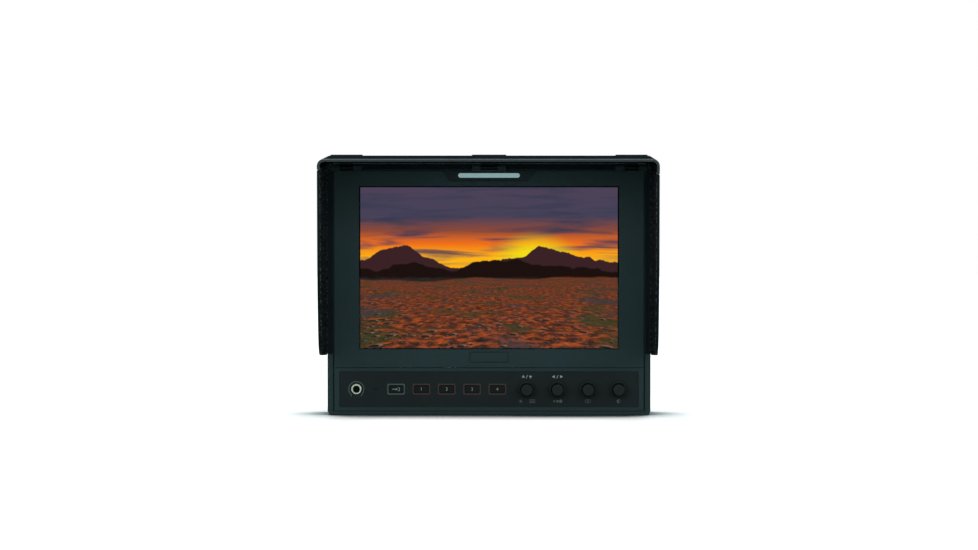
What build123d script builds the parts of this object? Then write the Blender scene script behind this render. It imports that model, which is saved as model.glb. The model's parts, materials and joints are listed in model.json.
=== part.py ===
"""Seven-inch camera field monitor with a folding sun hood.

Millimetres. X runs to the viewer's right, Y to the back, Z up. The origin is the mouth of the
tripod thread in the middle of the base, so the body stands on the plane Z = 0.

The hood is a cover that hinges on the front frame's top edge and a wing on each side of it.
The wings fold under the cover, one below the other, and the cover then closes over the screen.
"""

import os

from build123d import *

# ---- Body -----------------------------------------------------------------------------------
BODY_W = 189.4
BODY_H = 147.4
BODY_D = 31.0
BODY_CORNER_R = 3.0
REAR_EDGE_R = 2.5
SEAT_CLEARANCE = 0.05
FRONT_Y = -BODY_D / 2
REAR_Y = BODY_D / 2

# ---- Front frame: the strip round the face, with the shelf that carries the panels ----------
FRAME_D = 7.0
FRAME_EDGE_R = 0.5
STRIP_W = 3.2
FOOT_W = 2.3
GROOVE_W = 0.9
SHELF_W = 2.5
PANEL_T = 2.5
SEAM = 0.3

# ---- Screen, sixteen to ten, seven inches over the diagonal ----------------------------------
SCREEN_W = 150.8
SCREEN_H = 94.2
SCREEN_TOP_INSET = 13.8
SCREEN_MASK = 0.7
GLASS_T = 1.1
GLASS_LAP = 1.6
CELL_MARGIN = 3.0
CELL_T = 1.6
BACKLIGHT_T = 4.5
BACKLIGHT_R = 2.0

# ---- Parting line between the bezel and the control panel ------------------------------------
PARTING_INSET = 11.5

# ---- Tally light -----------------------------------------------------------------------------
TALLY_W = 36.1
TALLY_H = 2.6
TALLY_INSET = 6.8
TALLY_WELL_TOP_W = 55.6
TALLY_WELL_LOW_W = 45.7
TALLY_WELL_INSET = 10.2
TALLY_WELL_DEPTH = 0.8
TALLY_LENS_DROP = 0.4
TALLY_BOARD_W = 42.0
TALLY_BOARD_H = 5.2
TALLY_BOARD_T = 1.2

# ---- Catch insert and its magnet, below the screen -------------------------------------------
CATCH_W = 22.7
CATCH_H = 6.3
CATCH_INSET = 5.3
CATCH_T = 1.2
CATCH_GAP = 0.4
MAGNET_W = 18.0
MAGNET_H = 3.4
MAGNET_T = 2.0

# ---- Control strip, one row of controls ------------------------------------------------------
CONTROL_WELL_SIDE = 2.85
CONTROL_WELL_MARGIN = 2.1
CONTROL_WELL_DEPTH = 0.8
CONTROL_WELL_R = 1.0

JACK_INSET = 16.9
JACK_BORE_R = 1.8
JACK_BORE_L = 13.0
JACK_RING_R = 3.15
JACK_RING_H = 0.9
JACK_RING_EDGE_R = 0.3
JACK_MOUTH_R = 2.15
JACK_BARREL_R = 2.7
JACK_BLOCK_W = 8.0

SENSOR_STEP = 11.4
SENSOR_R = 1.0

KEY_STEP = 11.9
KEY_PITCH = 14.85
KEY_COUNT = 5
KEY_W = 8.6
KEY_H = 4.6
KEY_R = 0.7
KEY_EDGE_R = 0.3
KEY_TRAVEL = 0.5
KEY_PROUD = 0.8
KEY_FLANGE = 0.7
KEY_FLANGE_T = 0.8
RING_W = 10.3
RING_H = 6.4
RING_R = 1.0
RING_PROUD = 0.25
KEY_CLEARANCE = 0.15

KNOB_INSET = 18.65
KNOB_PITCH = 17.95
KNOB_COUNT = 4
KNOB_WELL_R = 5.4
KNOB_WELL_DEPTH = 0.9
KNOB_SKIRT_R = 4.9
KNOB_SKIRT_H = 1.3
KNOB_BASE_R = 4.1
KNOB_TIP_R = 3.8
KNOB_L = 11.0
KNOB_CAP_T = 1.3
KNOB_TIP_FILLET = 0.8
KNOB_FLUTES = 16
KNOB_FLUTE_R = 0.35
KNOB_CLEARANCE = 0.8
KNOB_TRAVEL = 0.5
SHAFT_R = 1.5
SHAFT_CLEARANCE = 0.05
BUSH_R = 2.5
BUSH_H = 0.9
BUSH_CLEARANCE = 0.15
ENCODER_W = 9.6
PLUNGER_T = 0.4
PLUNGER_GAP = 0.15

BOARD_T = 1.6
CONTROL_BOARD_SET = 5.9
BOARD_MARGIN = 1.0
SWITCH_W = 6.0
SWITCH_H = 4.0

# ---- Rear housing ----------------------------------------------------------------------------
WALL = 2.2
REAR_WALL = 2.5
HOUSING_INNER_R = 1.0
BAY_W = 144.0
BAY_LOW_Z = 14.0
BAY_TOP_Z = 38.0
BAY_DEPTH = 12.0
BAY_R = 2.0
VENT_L = 26.0
VENT_W = 2.0
VENT_PITCH = 5.0
VENT_COUNT = 7
VENT_X = 66.0
VENT_Z = 80.0
MOUNT_PITCH = 75.0
MOUNT_Z = 84.0
MOUNT_THREAD_R = 1.65
MOUNT_INSERT_R = 2.8
MOUNT_INSERT_L = 7.0
BOSS_WALL = 1.6
TRIPOD_THREAD_R = 2.55
TRIPOD_INSERT_R = 4.5
TRIPOD_INSERT_L = 10.0
SCREW_SIDE_INSET = 3.8
SCREW_TOP_INSET = 7.0
SCREW_LOW_Z = 8.0
SCREW_MID_Z = 75.0
SCREW_R = 1.25
SCREW_HEAD_R = 2.3
SCREW_HEAD_H = 1.6
SCREW_SINK = 2.4
SCREW_BITE = 3.5
SCREW_CLEARANCE = 0.1
SCREW_TIP_GAP = 0.3
SCREW_BOSS_WALL = 0.8
SCREW_SOCKET_R = 1.25
SCREW_SOCKET_DEPTH = 0.8

MAIN_BOARD_W = 130.0
MAIN_BOARD_H = 78.0
MAIN_BOARD_Z = 88.0
MAIN_BOARD_SET = 17.5
STANDOFF_R = 3.0
STANDOFF_INSET = 5.0

# ---- Rear connectors -------------------------------------------------------------------------
CONNECTOR_Z = 26.0
BNC_XS = (-48.0, -24.0)
BNC_R = 4.8
BNC_BORE_R = 4.1
BNC_L = 10.5
BNC_NUT_R = 7.0
BNC_NUT_H = 2.0
BNC_CORE_R = 2.4
BNC_LUG_R = 1.0
BNC_LUG_H = 0.9
BNC_LUG_SETBACK = 3.0
HDMI_X = 6.0
HDMI_W = 14.0
HDMI_H = 4.6
HDMI_SHELL = 0.7
HDMI_L = 11.0
DC_X = 36.0
DC_BORE_R = 2.75
DC_BODY_R = 5.0
DC_FLANGE_R = 6.5
DC_FLANGE_H = 1.5
DC_L = 10.0
DC_PIN_R = 1.05

# ---- Sun hood --------------------------------------------------------------------------------
HOOD_REACH = 110.0
HOOD_RISE = 4.8
SHEET_T = 1.5
LINER_T = 0.5
HOOD_OUTER_R = 4.0
HOOD_EDGE_R = 0.4
WING_GAP = 0.1
COVER_LAP = 3.5
REAR_LIP_T = 1.2
REAR_LIP_GAP = 0.1
PAD_H = 0.55
PAD_L = 12.0

COVER_AXIS_REACH = 2.6
COVER_KNUCKLE_R = 2.0
COVER_PIN_R = 0.8
COVER_ARM_T = 2.2
HINGE_INSET = 11.4
HINGE_WS = (18.4, 20.0, 18.4)
HINGE_EAR_W = 5.0
HINGE_GAP = 0.3
PIN_CLEARANCE = 0.05

WING_AXIS_DROP_LEFT = 3.4
WING_AXIS_DROP_RIGHT = 5.9
WING_KNUCKLE_GAP = 0.2
WING_PIN_R = 0.5
WING_KNUCKLES = 5
WING_KNUCKLE_SEAM = 0.25
WING_PIN_END = 1.0
WING_REAR_CLEARANCE = 0.4
WING_TOP_REACH = 109.0
WING_MID_REACH = 104.5
WING_MID_DROP = 2.5
WING_LOW_REACH = 88.0
WING_LOW_RISE = 0.6
WING_REAR_DROP = 3.7
WING_LOW_R = 26.0
WING_MID_R = 120.0

# ---- Derived sizes ---------------------------------------------------------------------------
PANEL_HALF_W = BODY_W / 2 - STRIP_W - GROOVE_W
PANEL_TOP_Z = BODY_H - STRIP_W - GROOVE_W
PANEL_LOW_Z = FOOT_W + SEAM
PANEL_BACK_Y = FRONT_Y + PANEL_T
SCREEN_Z = BODY_H - SCREEN_TOP_INSET - SCREEN_H / 2
SCREEN_LOW_Z = SCREEN_Z - SCREEN_H / 2
CELL_W = SCREEN_W + 2 * CELL_MARGIN
CELL_H = SCREEN_H + 2 * CELL_MARGIN
TALLY_Z = BODY_H - TALLY_INSET
TALLY_WELL_LOW_Z = BODY_H - TALLY_WELL_INSET
CATCH_Z = SCREEN_LOW_Z - CATCH_INSET
PARTING_Z = SCREEN_LOW_Z - PARTING_INSET
CONTROL_WELL_W = 2 * (PANEL_HALF_W - CONTROL_WELL_SIDE)
CONTROL_WELL_LOW_Z = PANEL_LOW_Z + CONTROL_WELL_MARGIN
CONTROL_WELL_TOP_Z = PARTING_Z - CONTROL_WELL_MARGIN
ROW_Z = (CONTROL_WELL_LOW_Z + CONTROL_WELL_TOP_Z) / 2
JACK_X = JACK_INSET - BODY_W / 2
SENSOR_X = JACK_X + SENSOR_STEP
KEY_X_FIRST = SENSOR_X + KEY_STEP
KNOB_X_FIRST = BODY_W / 2 - KNOB_INSET - (KNOB_COUNT - 1) * KNOB_PITCH
WELL_FLOOR_Y = FRONT_Y + CONTROL_WELL_DEPTH
KNOB_FLOOR_Y = WELL_FLOOR_Y + KNOB_WELL_DEPTH
FRAME_BACK_Y = FRONT_Y + FRAME_D
GLASS_Y = PANEL_BACK_Y - GLASS_T
BAY_FLOOR_Y = REAR_Y - BAY_DEPTH
CONTROL_BOARD_Y = FRONT_Y + CONTROL_BOARD_SET
MAIN_BOARD_Y = REAR_Y - MAIN_BOARD_SET
COVER_AXIS_Y = FRONT_Y - COVER_AXIS_REACH
COVER_AXIS_Z = BODY_H - COVER_KNUCKLE_R
COVER_REAR_Y = FRONT_Y + COVER_LAP
HINGE_X = BODY_W / 2 - HINGE_INSET
HINGE_XS = (-HINGE_X, 0, HINGE_X)
WING_MID_Z = SCREEN_Z - WING_MID_DROP
WING_LOW_Z = SCREEN_LOW_Z + WING_LOW_RISE
WING_REAR_LOW_Z = SCREEN_LOW_Z - WING_REAR_DROP
HOOD_FRONT_Y = FRONT_Y - HOOD_REACH
HOOD_TOP_Z = BODY_H + HOOD_RISE
HOOD_T = SHEET_T + LINER_T
HOOD_INNER_Z = HOOD_TOP_Z - HOOD_T
WING_INNER_X = BODY_W / 2 + WING_GAP
WING_OUTER_X = WING_INNER_X + HOOD_T
WING_AXIS_X = WING_INNER_X + HOOD_T / 2
WING_KNUCKLE_R = HOOD_T / 2
WING_REAR_Y = COVER_AXIS_Y - COVER_KNUCKLE_R - WING_REAR_CLEARANCE
KEY_XS = [KEY_X_FIRST + KEY_PITCH * i for i in range(KEY_COUNT)]
KNOB_XS = [KNOB_X_FIRST + KNOB_PITCH * i for i in range(KNOB_COUNT)]
SCREW_X = BODY_W / 2 - SCREW_SIDE_INSET
SCREW_ZS = (SCREW_LOW_Z, SCREW_MID_Z, BODY_H - SCREW_TOP_INSET)
SCREW_POINTS = [(side * SCREW_X, z) for side in (-1, 1) for z in SCREW_ZS]
KEY_BACK_Y = PANEL_BACK_Y + KEY_CLEARANCE + KEY_FLANGE_T
SWITCH_FRONT_Y = KEY_BACK_Y + KEY_TRAVEL + KEY_CLEARANCE
KNOB_BACK_Y = KNOB_FLOOR_Y - KNOB_CLEARANCE
KNOB_TIP_Y = KNOB_BACK_Y - KNOB_L
SHAFT_BACK_Y = CONTROL_BOARD_Y - PLUNGER_T - KNOB_TRAVEL - 2 * PLUNGER_GAP

os.makedirs("parts", exist_ok=True)


def at_y(y):
    """Upright plane at depth y. Its own x and y are the part's X and Z; it faces the viewer."""
    return Plane.XZ.offset(-y)


def at_x(x):
    """Plane across the width at x. Its own x and y are the part's Y and Z."""
    return Plane.YZ.offset(x)


def save(part, name):
    """Label a finished piece and write it as one STEP file."""
    part.label = name
    export_step(part, f"parts/{name}.step")


def panel_outline(low_z, top_z):
    """Rectangle that fills the frame between two heights, as a sketch in the X-Z plane."""
    with BuildSketch() as outline:
        with Locations((0, (low_z + top_z) / 2)):
            Rectangle(2 * PANEL_HALF_W, top_z - low_z)
    return outline.sketch


def arch(half_w, top_z, low_z, radius):
    """Hood section: a rectangle with rounded upper corners."""
    with BuildSketch() as section:
        with Locations((0, (top_z + low_z) / 2)):
            Rectangle(2 * half_w, top_z - low_z)
        fillet(section.vertices().group_by(Axis.Y)[-1], radius)
    return section.sketch


# ---- Front frame -----------------------------------------------------------------------------
SHELF_HALF_W = PANEL_HALF_W - SHELF_W
SHELF_TOP_Z = PANEL_TOP_Z - SHELF_W
SHELF_LOW_Z = FOOT_W + SHELF_W
TALLY_NOTCH_W = TALLY_BOARD_W + 2 * SEAM

with BuildPart() as front_frame:
    with BuildSketch(at_y(FRONT_Y)):
        with Locations((0, BODY_H / 2)):
            RectangleRounded(BODY_W, BODY_H, BODY_CORNER_R)
    extrude(amount=-FRAME_D)
    fillet(front_frame.faces().sort_by(Axis.Y)[0].edges(), FRAME_EDGE_R)
    with BuildSketch(at_y(FRONT_Y)):
        with Locations((0, (FOOT_W + BODY_H - STRIP_W) / 2)):
            Rectangle(BODY_W - 2 * STRIP_W, BODY_H - STRIP_W - FOOT_W)
    extrude(amount=-PANEL_T, mode=Mode.SUBTRACT)
    with BuildSketch(at_y(FRONT_Y)):
        with Locations((0, (SHELF_LOW_Z + SHELF_TOP_Z) / 2)):
            Rectangle(2 * SHELF_HALF_W, SHELF_TOP_Z - SHELF_LOW_Z)
        with Locations((0, TALLY_Z)):
            Rectangle(TALLY_NOTCH_W, TALLY_BOARD_H + 2 * SEAM)
    extrude(amount=-FRAME_D, mode=Mode.SUBTRACT)
    with BuildSketch(at_y(FRAME_BACK_Y)):
        with Locations(SCREW_POINTS):
            Circle(SCREW_R)
    extrude(amount=SCREW_BITE + SCREW_TIP_GAP, mode=Mode.SUBTRACT)
    for centre, width in zip(HINGE_XS, HINGE_WS):
        for side in (-1, 1):
            inner = centre + side * (width / 2 - HINGE_EAR_W)
            start = inner if side > 0 else inner - HINGE_EAR_W
            with BuildSketch(at_x(start)):
                with Locations((COVER_AXIS_Y, COVER_AXIS_Z)):
                    Circle(COVER_KNUCKLE_R)
                with Locations(((COVER_AXIS_Y + FRONT_Y) / 2, COVER_AXIS_Z)):
                    Rectangle(FRONT_Y - COVER_AXIS_Y, 2 * COVER_KNUCKLE_R)
            extrude(amount=HINGE_EAR_W)
        with BuildSketch(at_x(centre - width / 2)):
            with Locations((COVER_AXIS_Y, COVER_AXIS_Z)):
                Circle(COVER_PIN_R + PIN_CLEARANCE)
        extrude(amount=width, mode=Mode.SUBTRACT)
save(front_frame.part, "front_frame")

# ---- Bezel panel -----------------------------------------------------------------------------
with BuildPart() as bezel:
    with BuildSketch(at_y(FRONT_Y)):
        add(panel_outline(PARTING_Z + SEAM / 2, PANEL_TOP_Z))
        with Locations((0, SCREEN_Z)):
            Rectangle(SCREEN_W + 2 * SCREEN_MASK, SCREEN_H + 2 * SCREEN_MASK, mode=Mode.SUBTRACT)
    extrude(amount=-PANEL_T)
    with BuildSketch(at_y(PANEL_BACK_Y)):
        with Locations((0, SCREEN_Z)):
            Rectangle(SCREEN_W + 2 * (SCREEN_MASK + GLASS_LAP), SCREEN_H + 2 * (SCREEN_MASK + GLASS_LAP))
    extrude(amount=GLASS_T, mode=Mode.SUBTRACT)
    with BuildSketch(at_y(FRONT_Y)):
        with BuildLine():
            Polyline(
                (-TALLY_WELL_TOP_W / 2, PANEL_TOP_Z),
                (-TALLY_WELL_LOW_W / 2, TALLY_WELL_LOW_Z),
                (TALLY_WELL_LOW_W / 2, TALLY_WELL_LOW_Z),
                (TALLY_WELL_TOP_W / 2, PANEL_TOP_Z),
                close=True,
            )
        make_face()
    extrude(amount=-TALLY_WELL_DEPTH, mode=Mode.SUBTRACT)
    with BuildSketch(at_y(FRONT_Y)):
        with Locations((0, TALLY_Z)):
            SlotOverall(TALLY_W + 2 * SEAT_CLEARANCE, TALLY_H + 2 * SEAT_CLEARANCE)
    extrude(amount=-PANEL_T, mode=Mode.SUBTRACT)
    with BuildSketch(at_y(FRONT_Y)):
        with Locations((0, CATCH_Z)):
            RectangleRounded(CATCH_W, CATCH_H, KEY_R)
    extrude(amount=-CATCH_T, mode=Mode.SUBTRACT)
save(bezel.part, "bezel")

# ---- Control panel ---------------------------------------------------------------------------
with BuildPart() as control_panel:
    with BuildSketch(at_y(FRONT_Y)):
        add(panel_outline(PANEL_LOW_Z, PARTING_Z - SEAM / 2))
    extrude(amount=-PANEL_T)
    with BuildSketch(at_y(FRONT_Y)):
        with Locations((0, (CONTROL_WELL_LOW_Z + CONTROL_WELL_TOP_Z) / 2)):
            RectangleRounded(CONTROL_WELL_W, CONTROL_WELL_TOP_Z - CONTROL_WELL_LOW_Z, CONTROL_WELL_R)
    extrude(amount=-CONTROL_WELL_DEPTH, mode=Mode.SUBTRACT)
    with BuildSketch(at_y(WELL_FLOOR_Y)):
        with Locations([(x, ROW_Z) for x in KNOB_XS]):
            Circle(KNOB_WELL_R)
    extrude(amount=-KNOB_WELL_DEPTH, mode=Mode.SUBTRACT)
    with BuildSketch(at_y(WELL_FLOOR_Y)):
        with Locations([(x, ROW_Z) for x in KNOB_XS]):
            Circle(BUSH_R + SEAT_CLEARANCE)
        with Locations([(x, ROW_Z) for x in KEY_XS]):
            RectangleRounded(RING_W, RING_H, RING_R)
        with Locations((JACK_X, ROW_Z)):
            Circle(JACK_BARREL_R + SEAT_CLEARANCE)
        with Locations((SENSOR_X, ROW_Z)):
            Circle(SENSOR_R)
    extrude(amount=-PANEL_T, mode=Mode.SUBTRACT)
save(control_panel.part, "control_panel")

# ---- Screen: cover glass, picture cell and backlight ------------------------------------------
with BuildPart() as cover_glass:
    with BuildSketch(at_y(GLASS_Y)):
        with Locations((0, SCREEN_Z)):
            Rectangle(SCREEN_W + 2 * (SCREEN_MASK + GLASS_LAP), SCREEN_H + 2 * (SCREEN_MASK + GLASS_LAP))
    extrude(amount=-GLASS_T)
save(cover_glass.part, "cover_glass")

with BuildPart() as picture_cell:
    with BuildSketch(at_y(PANEL_BACK_Y)):
        with Locations((0, SCREEN_Z)):
            Rectangle(CELL_W, CELL_H)
    extrude(amount=-CELL_T)
save(picture_cell.part, "picture_cell")

with BuildPart() as backlight:
    with BuildSketch(at_y(PANEL_BACK_Y + CELL_T)):
        with Locations((0, SCREEN_Z)):
            RectangleRounded(CELL_W, CELL_H, BACKLIGHT_R)
    extrude(amount=-BACKLIGHT_T)
save(backlight.part, "backlight")

# ---- Tally light -----------------------------------------------------------------------------
with BuildPart() as tally_lens:
    with BuildSketch(at_y(FRONT_Y + TALLY_LENS_DROP)):
        with Locations((0, TALLY_Z)):
            SlotOverall(TALLY_W, TALLY_H)
    extrude(amount=-(PANEL_T - TALLY_LENS_DROP))
save(tally_lens.part, "tally_lens")

with BuildPart() as tally_board:
    with BuildSketch(at_y(PANEL_BACK_Y)):
        with Locations((0, TALLY_Z)):
            Rectangle(TALLY_BOARD_W, TALLY_BOARD_H)
    extrude(amount=-TALLY_BOARD_T)
save(tally_board.part, "tally_board")

# ---- Catch insert and magnet -----------------------------------------------------------------
with BuildPart() as catch_insert:
    with BuildSketch(at_y(FRONT_Y)):
        with Locations((0, CATCH_Z)):
            RectangleRounded(CATCH_W - 2 * CATCH_GAP, CATCH_H - 2 * CATCH_GAP, KEY_R - CATCH_GAP)
    extrude(amount=-CATCH_T)
save(catch_insert.part, "catch_insert")

with BuildPart() as catch_magnet:
    with BuildSketch(at_y(PANEL_BACK_Y)):
        with Locations((0, CATCH_Z)):
            Rectangle(MAGNET_W, MAGNET_H)
    extrude(amount=-MAGNET_T)
save(catch_magnet.part, "catch_magnet")

# ---- Headphone jack and sensor window --------------------------------------------------------
with BuildPart() as headphone_jack:
    with BuildSketch(at_y(WELL_FLOOR_Y)):
        with Locations((JACK_X, ROW_Z)):
            Circle(JACK_BARREL_R)
    extrude(amount=-(PANEL_BACK_Y - WELL_FLOOR_Y))
    with BuildSketch(at_y(PANEL_BACK_Y)):
        with Locations((JACK_X, ROW_Z)):
            RectangleRounded(JACK_BLOCK_W, JACK_BLOCK_W, KEY_R)
    extrude(amount=-(JACK_BORE_L - JACK_RING_H))
    with BuildSketch(at_y(WELL_FLOOR_Y - JACK_RING_H)):
        with Locations((JACK_X, ROW_Z)):
            Circle(JACK_BORE_R)
    extrude(amount=-JACK_BORE_L, mode=Mode.SUBTRACT)
save(headphone_jack.part, "headphone_jack")

with BuildPart() as jack_ring:
    with BuildSketch(at_y(WELL_FLOOR_Y)):
        with Locations((JACK_X, ROW_Z)):
            Circle(JACK_RING_R)
            Circle(JACK_MOUTH_R, mode=Mode.SUBTRACT)
    extrude(amount=JACK_RING_H)
    fillet(jack_ring.faces().sort_by(Axis.Y)[0].edges().sort_by(SortBy.RADIUS)[-1],
           JACK_RING_EDGE_R)
save(jack_ring.part, "jack_ring")

with BuildPart() as sensor_window:
    with BuildSketch(at_y(WELL_FLOOR_Y)):
        with Locations((SENSOR_X, ROW_Z)):
            Circle(SENSOR_R - SEAT_CLEARANCE)
    extrude(amount=-(PANEL_BACK_Y - WELL_FLOOR_Y))
save(sensor_window.part, "sensor_window")

# ---- Keys and the coloured rings round them ---------------------------------------------------
def make_ring(xs):
    """Coloured rings seated in the control panel, one round each key at the given x places."""
    with BuildPart() as ring:
        with BuildSketch(at_y(WELL_FLOOR_Y - RING_PROUD)):
            with Locations([(x, ROW_Z) for x in xs]):
                RectangleRounded(RING_W, RING_H, RING_R)
                RectangleRounded(KEY_W + 2 * KEY_CLEARANCE, KEY_H + 2 * KEY_CLEARANCE, KEY_R,
                                 mode=Mode.SUBTRACT)
        extrude(amount=-(PANEL_BACK_Y - WELL_FLOOR_Y + RING_PROUD))
    return ring.part


def make_key(x):
    """Key cap with the flange behind the panel that holds it in."""
    with BuildPart() as key:
        with BuildSketch(at_y(WELL_FLOOR_Y - KEY_PROUD)):
            with Locations((x, ROW_Z)):
                RectangleRounded(KEY_W, KEY_H, KEY_R)
        extrude(amount=-(PANEL_BACK_Y + KEY_CLEARANCE - WELL_FLOOR_Y + KEY_PROUD))
        fillet(key.faces().sort_by(Axis.Y)[0].edges(), KEY_EDGE_R)
        with BuildSketch(at_y(PANEL_BACK_Y + KEY_CLEARANCE)):
            with Locations((x, ROW_Z)):
                RectangleRounded(KEY_W + 2 * KEY_FLANGE, KEY_H + 2 * KEY_FLANGE, KEY_R)
        extrude(amount=-KEY_FLANGE_T)
    return key.part


save(make_ring(KEY_XS[:1]), "input_key_ring")
save(make_ring(KEY_XS[1:]), "function_key_rings")
for index, key_x in enumerate(KEY_XS):
    save(make_key(key_x), "input_key" if index == 0 else f"function_key_{index}")

# ---- Control board, key switches and encoders ------------------------------------------------
BOARD_LEFT_X = SENSOR_X - SENSOR_R - BOARD_MARGIN
BOARD_RIGHT_X = KNOB_XS[-1] + ENCODER_W / 2 + BOARD_MARGIN

with BuildPart() as control_board:
    with BuildSketch(at_y(CONTROL_BOARD_Y)):
        with Locations(((BOARD_LEFT_X + BOARD_RIGHT_X) / 2, ROW_Z)):
            Rectangle(BOARD_RIGHT_X - BOARD_LEFT_X,
                      CONTROL_WELL_TOP_Z - CONTROL_WELL_LOW_Z - 2 * BOARD_MARGIN)
    extrude(amount=-BOARD_T)
    with BuildSketch(at_y(CONTROL_BOARD_Y)):
        with Locations((SENSOR_X, ROW_Z)):
            Circle(SENSOR_R)
    extrude(amount=CONTROL_BOARD_Y - PANEL_BACK_Y - SEAM)
save(control_board.part, "control_board")

with BuildPart() as key_switches:
    with BuildSketch(at_y(CONTROL_BOARD_Y)):
        with Locations([(x, ROW_Z) for x in KEY_XS]):
            Rectangle(SWITCH_W, SWITCH_H)
    extrude(amount=CONTROL_BOARD_Y - SWITCH_FRONT_Y)
save(key_switches.part, "key_switches")

with BuildPart() as encoders:
    with BuildSketch(at_y(CONTROL_BOARD_Y)):
        with Locations([(x, ROW_Z) for x in KNOB_XS]):
            Rectangle(ENCODER_W, ENCODER_W)
    extrude(amount=CONTROL_BOARD_Y - PANEL_BACK_Y)
    with BuildSketch(at_y(PANEL_BACK_Y)):
        with Locations([(x, ROW_Z) for x in KNOB_XS]):
            Circle(BUSH_R)
    extrude(amount=PANEL_BACK_Y - KNOB_BACK_Y + BUSH_H)
    with BuildSketch(at_y(CONTROL_BOARD_Y)):
        with Locations([(x, ROW_Z) for x in KNOB_XS]):
            Circle(SHAFT_R + SHAFT_CLEARANCE)
    extrude(amount=CONTROL_BOARD_Y - KNOB_BACK_Y + BUSH_H, mode=Mode.SUBTRACT)
save(encoders.part, "encoders")

with BuildPart() as push_plunger:
    with BuildSketch(at_y(SHAFT_BACK_Y + PLUNGER_GAP)):
        with Locations((KNOB_XS[0], ROW_Z)):
            Circle(SHAFT_R)
    extrude(amount=-PLUNGER_T)
save(push_plunger.part, "push_plunger")


# ---- Knobs and shafts ------------------------------------------------------------------------
def make_knob(x):
    """Fluted knob: a thin skirt in the panel's well and a slightly tapered grip."""
    shaft_hole_tip_y = KNOB_TIP_Y + KNOB_CAP_T
    with BuildPart() as knob:
        with BuildSketch(at_y(KNOB_BACK_Y)):
            with Locations((x, ROW_Z)):
                Circle(KNOB_SKIRT_R)
        extrude(amount=KNOB_SKIRT_H)
        with BuildSketch(at_y(KNOB_BACK_Y - KNOB_SKIRT_H)):
            with Locations((x, ROW_Z)):
                Circle(KNOB_BASE_R)
        with BuildSketch(at_y(KNOB_TIP_Y)):
            with Locations((x, ROW_Z)):
                Circle(KNOB_TIP_R)
        loft()
        fillet(knob.faces().sort_by(Axis.Y)[0].edges(), KNOB_TIP_FILLET)
        with BuildSketch(at_y(KNOB_BACK_Y - KNOB_SKIRT_H)):
            with Locations((x, ROW_Z)):
                with PolarLocations(KNOB_BASE_R, KNOB_FLUTES):
                    Circle(KNOB_FLUTE_R)
        extrude(amount=KNOB_L, mode=Mode.SUBTRACT)
        with BuildSketch(at_y(KNOB_BACK_Y)):
            with Locations((x, ROW_Z)):
                Circle(BUSH_R + BUSH_CLEARANCE)
        extrude(amount=BUSH_H + KNOB_TRAVEL + BUSH_CLEARANCE, mode=Mode.SUBTRACT)
        with BuildSketch(at_y(KNOB_BACK_Y)):
            with Locations((x, ROW_Z)):
                Circle(SHAFT_R)
        extrude(amount=KNOB_BACK_Y - shaft_hole_tip_y, mode=Mode.SUBTRACT)
    return knob.part


def make_shaft(x):
    """Encoder shaft, seated in the knob and running in the encoder's bush."""
    with BuildPart() as shaft:
        with BuildSketch(at_y(SHAFT_BACK_Y)):
            with Locations((x, ROW_Z)):
                Circle(SHAFT_R)
        extrude(amount=SHAFT_BACK_Y - KNOB_TIP_Y - KNOB_CAP_T)
    return shaft.part


for index, knob_x in enumerate(KNOB_XS, start=1):
    save(make_knob(knob_x), f"knob_{index}")
    save(make_shaft(knob_x), f"knob_shaft_{index}")

# ---- Rear housing ----------------------------------------------------------------------------
MOUNT_POINTS = [(sx * MOUNT_PITCH / 2, MOUNT_Z + sz * MOUNT_PITCH / 2) for sx in (-1, 1) for sz in (-1, 1)]
STANDOFF_POINTS = [
    (sx * (MAIN_BOARD_W / 2 - STANDOFF_INSET), MAIN_BOARD_Z + sz * (MAIN_BOARD_H / 2 - STANDOFF_INSET))
    for sx in (-1, 1) for sz in (-1, 1)
]
SCREW_SEAT_Y = REAR_Y - SCREW_SINK

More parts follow.
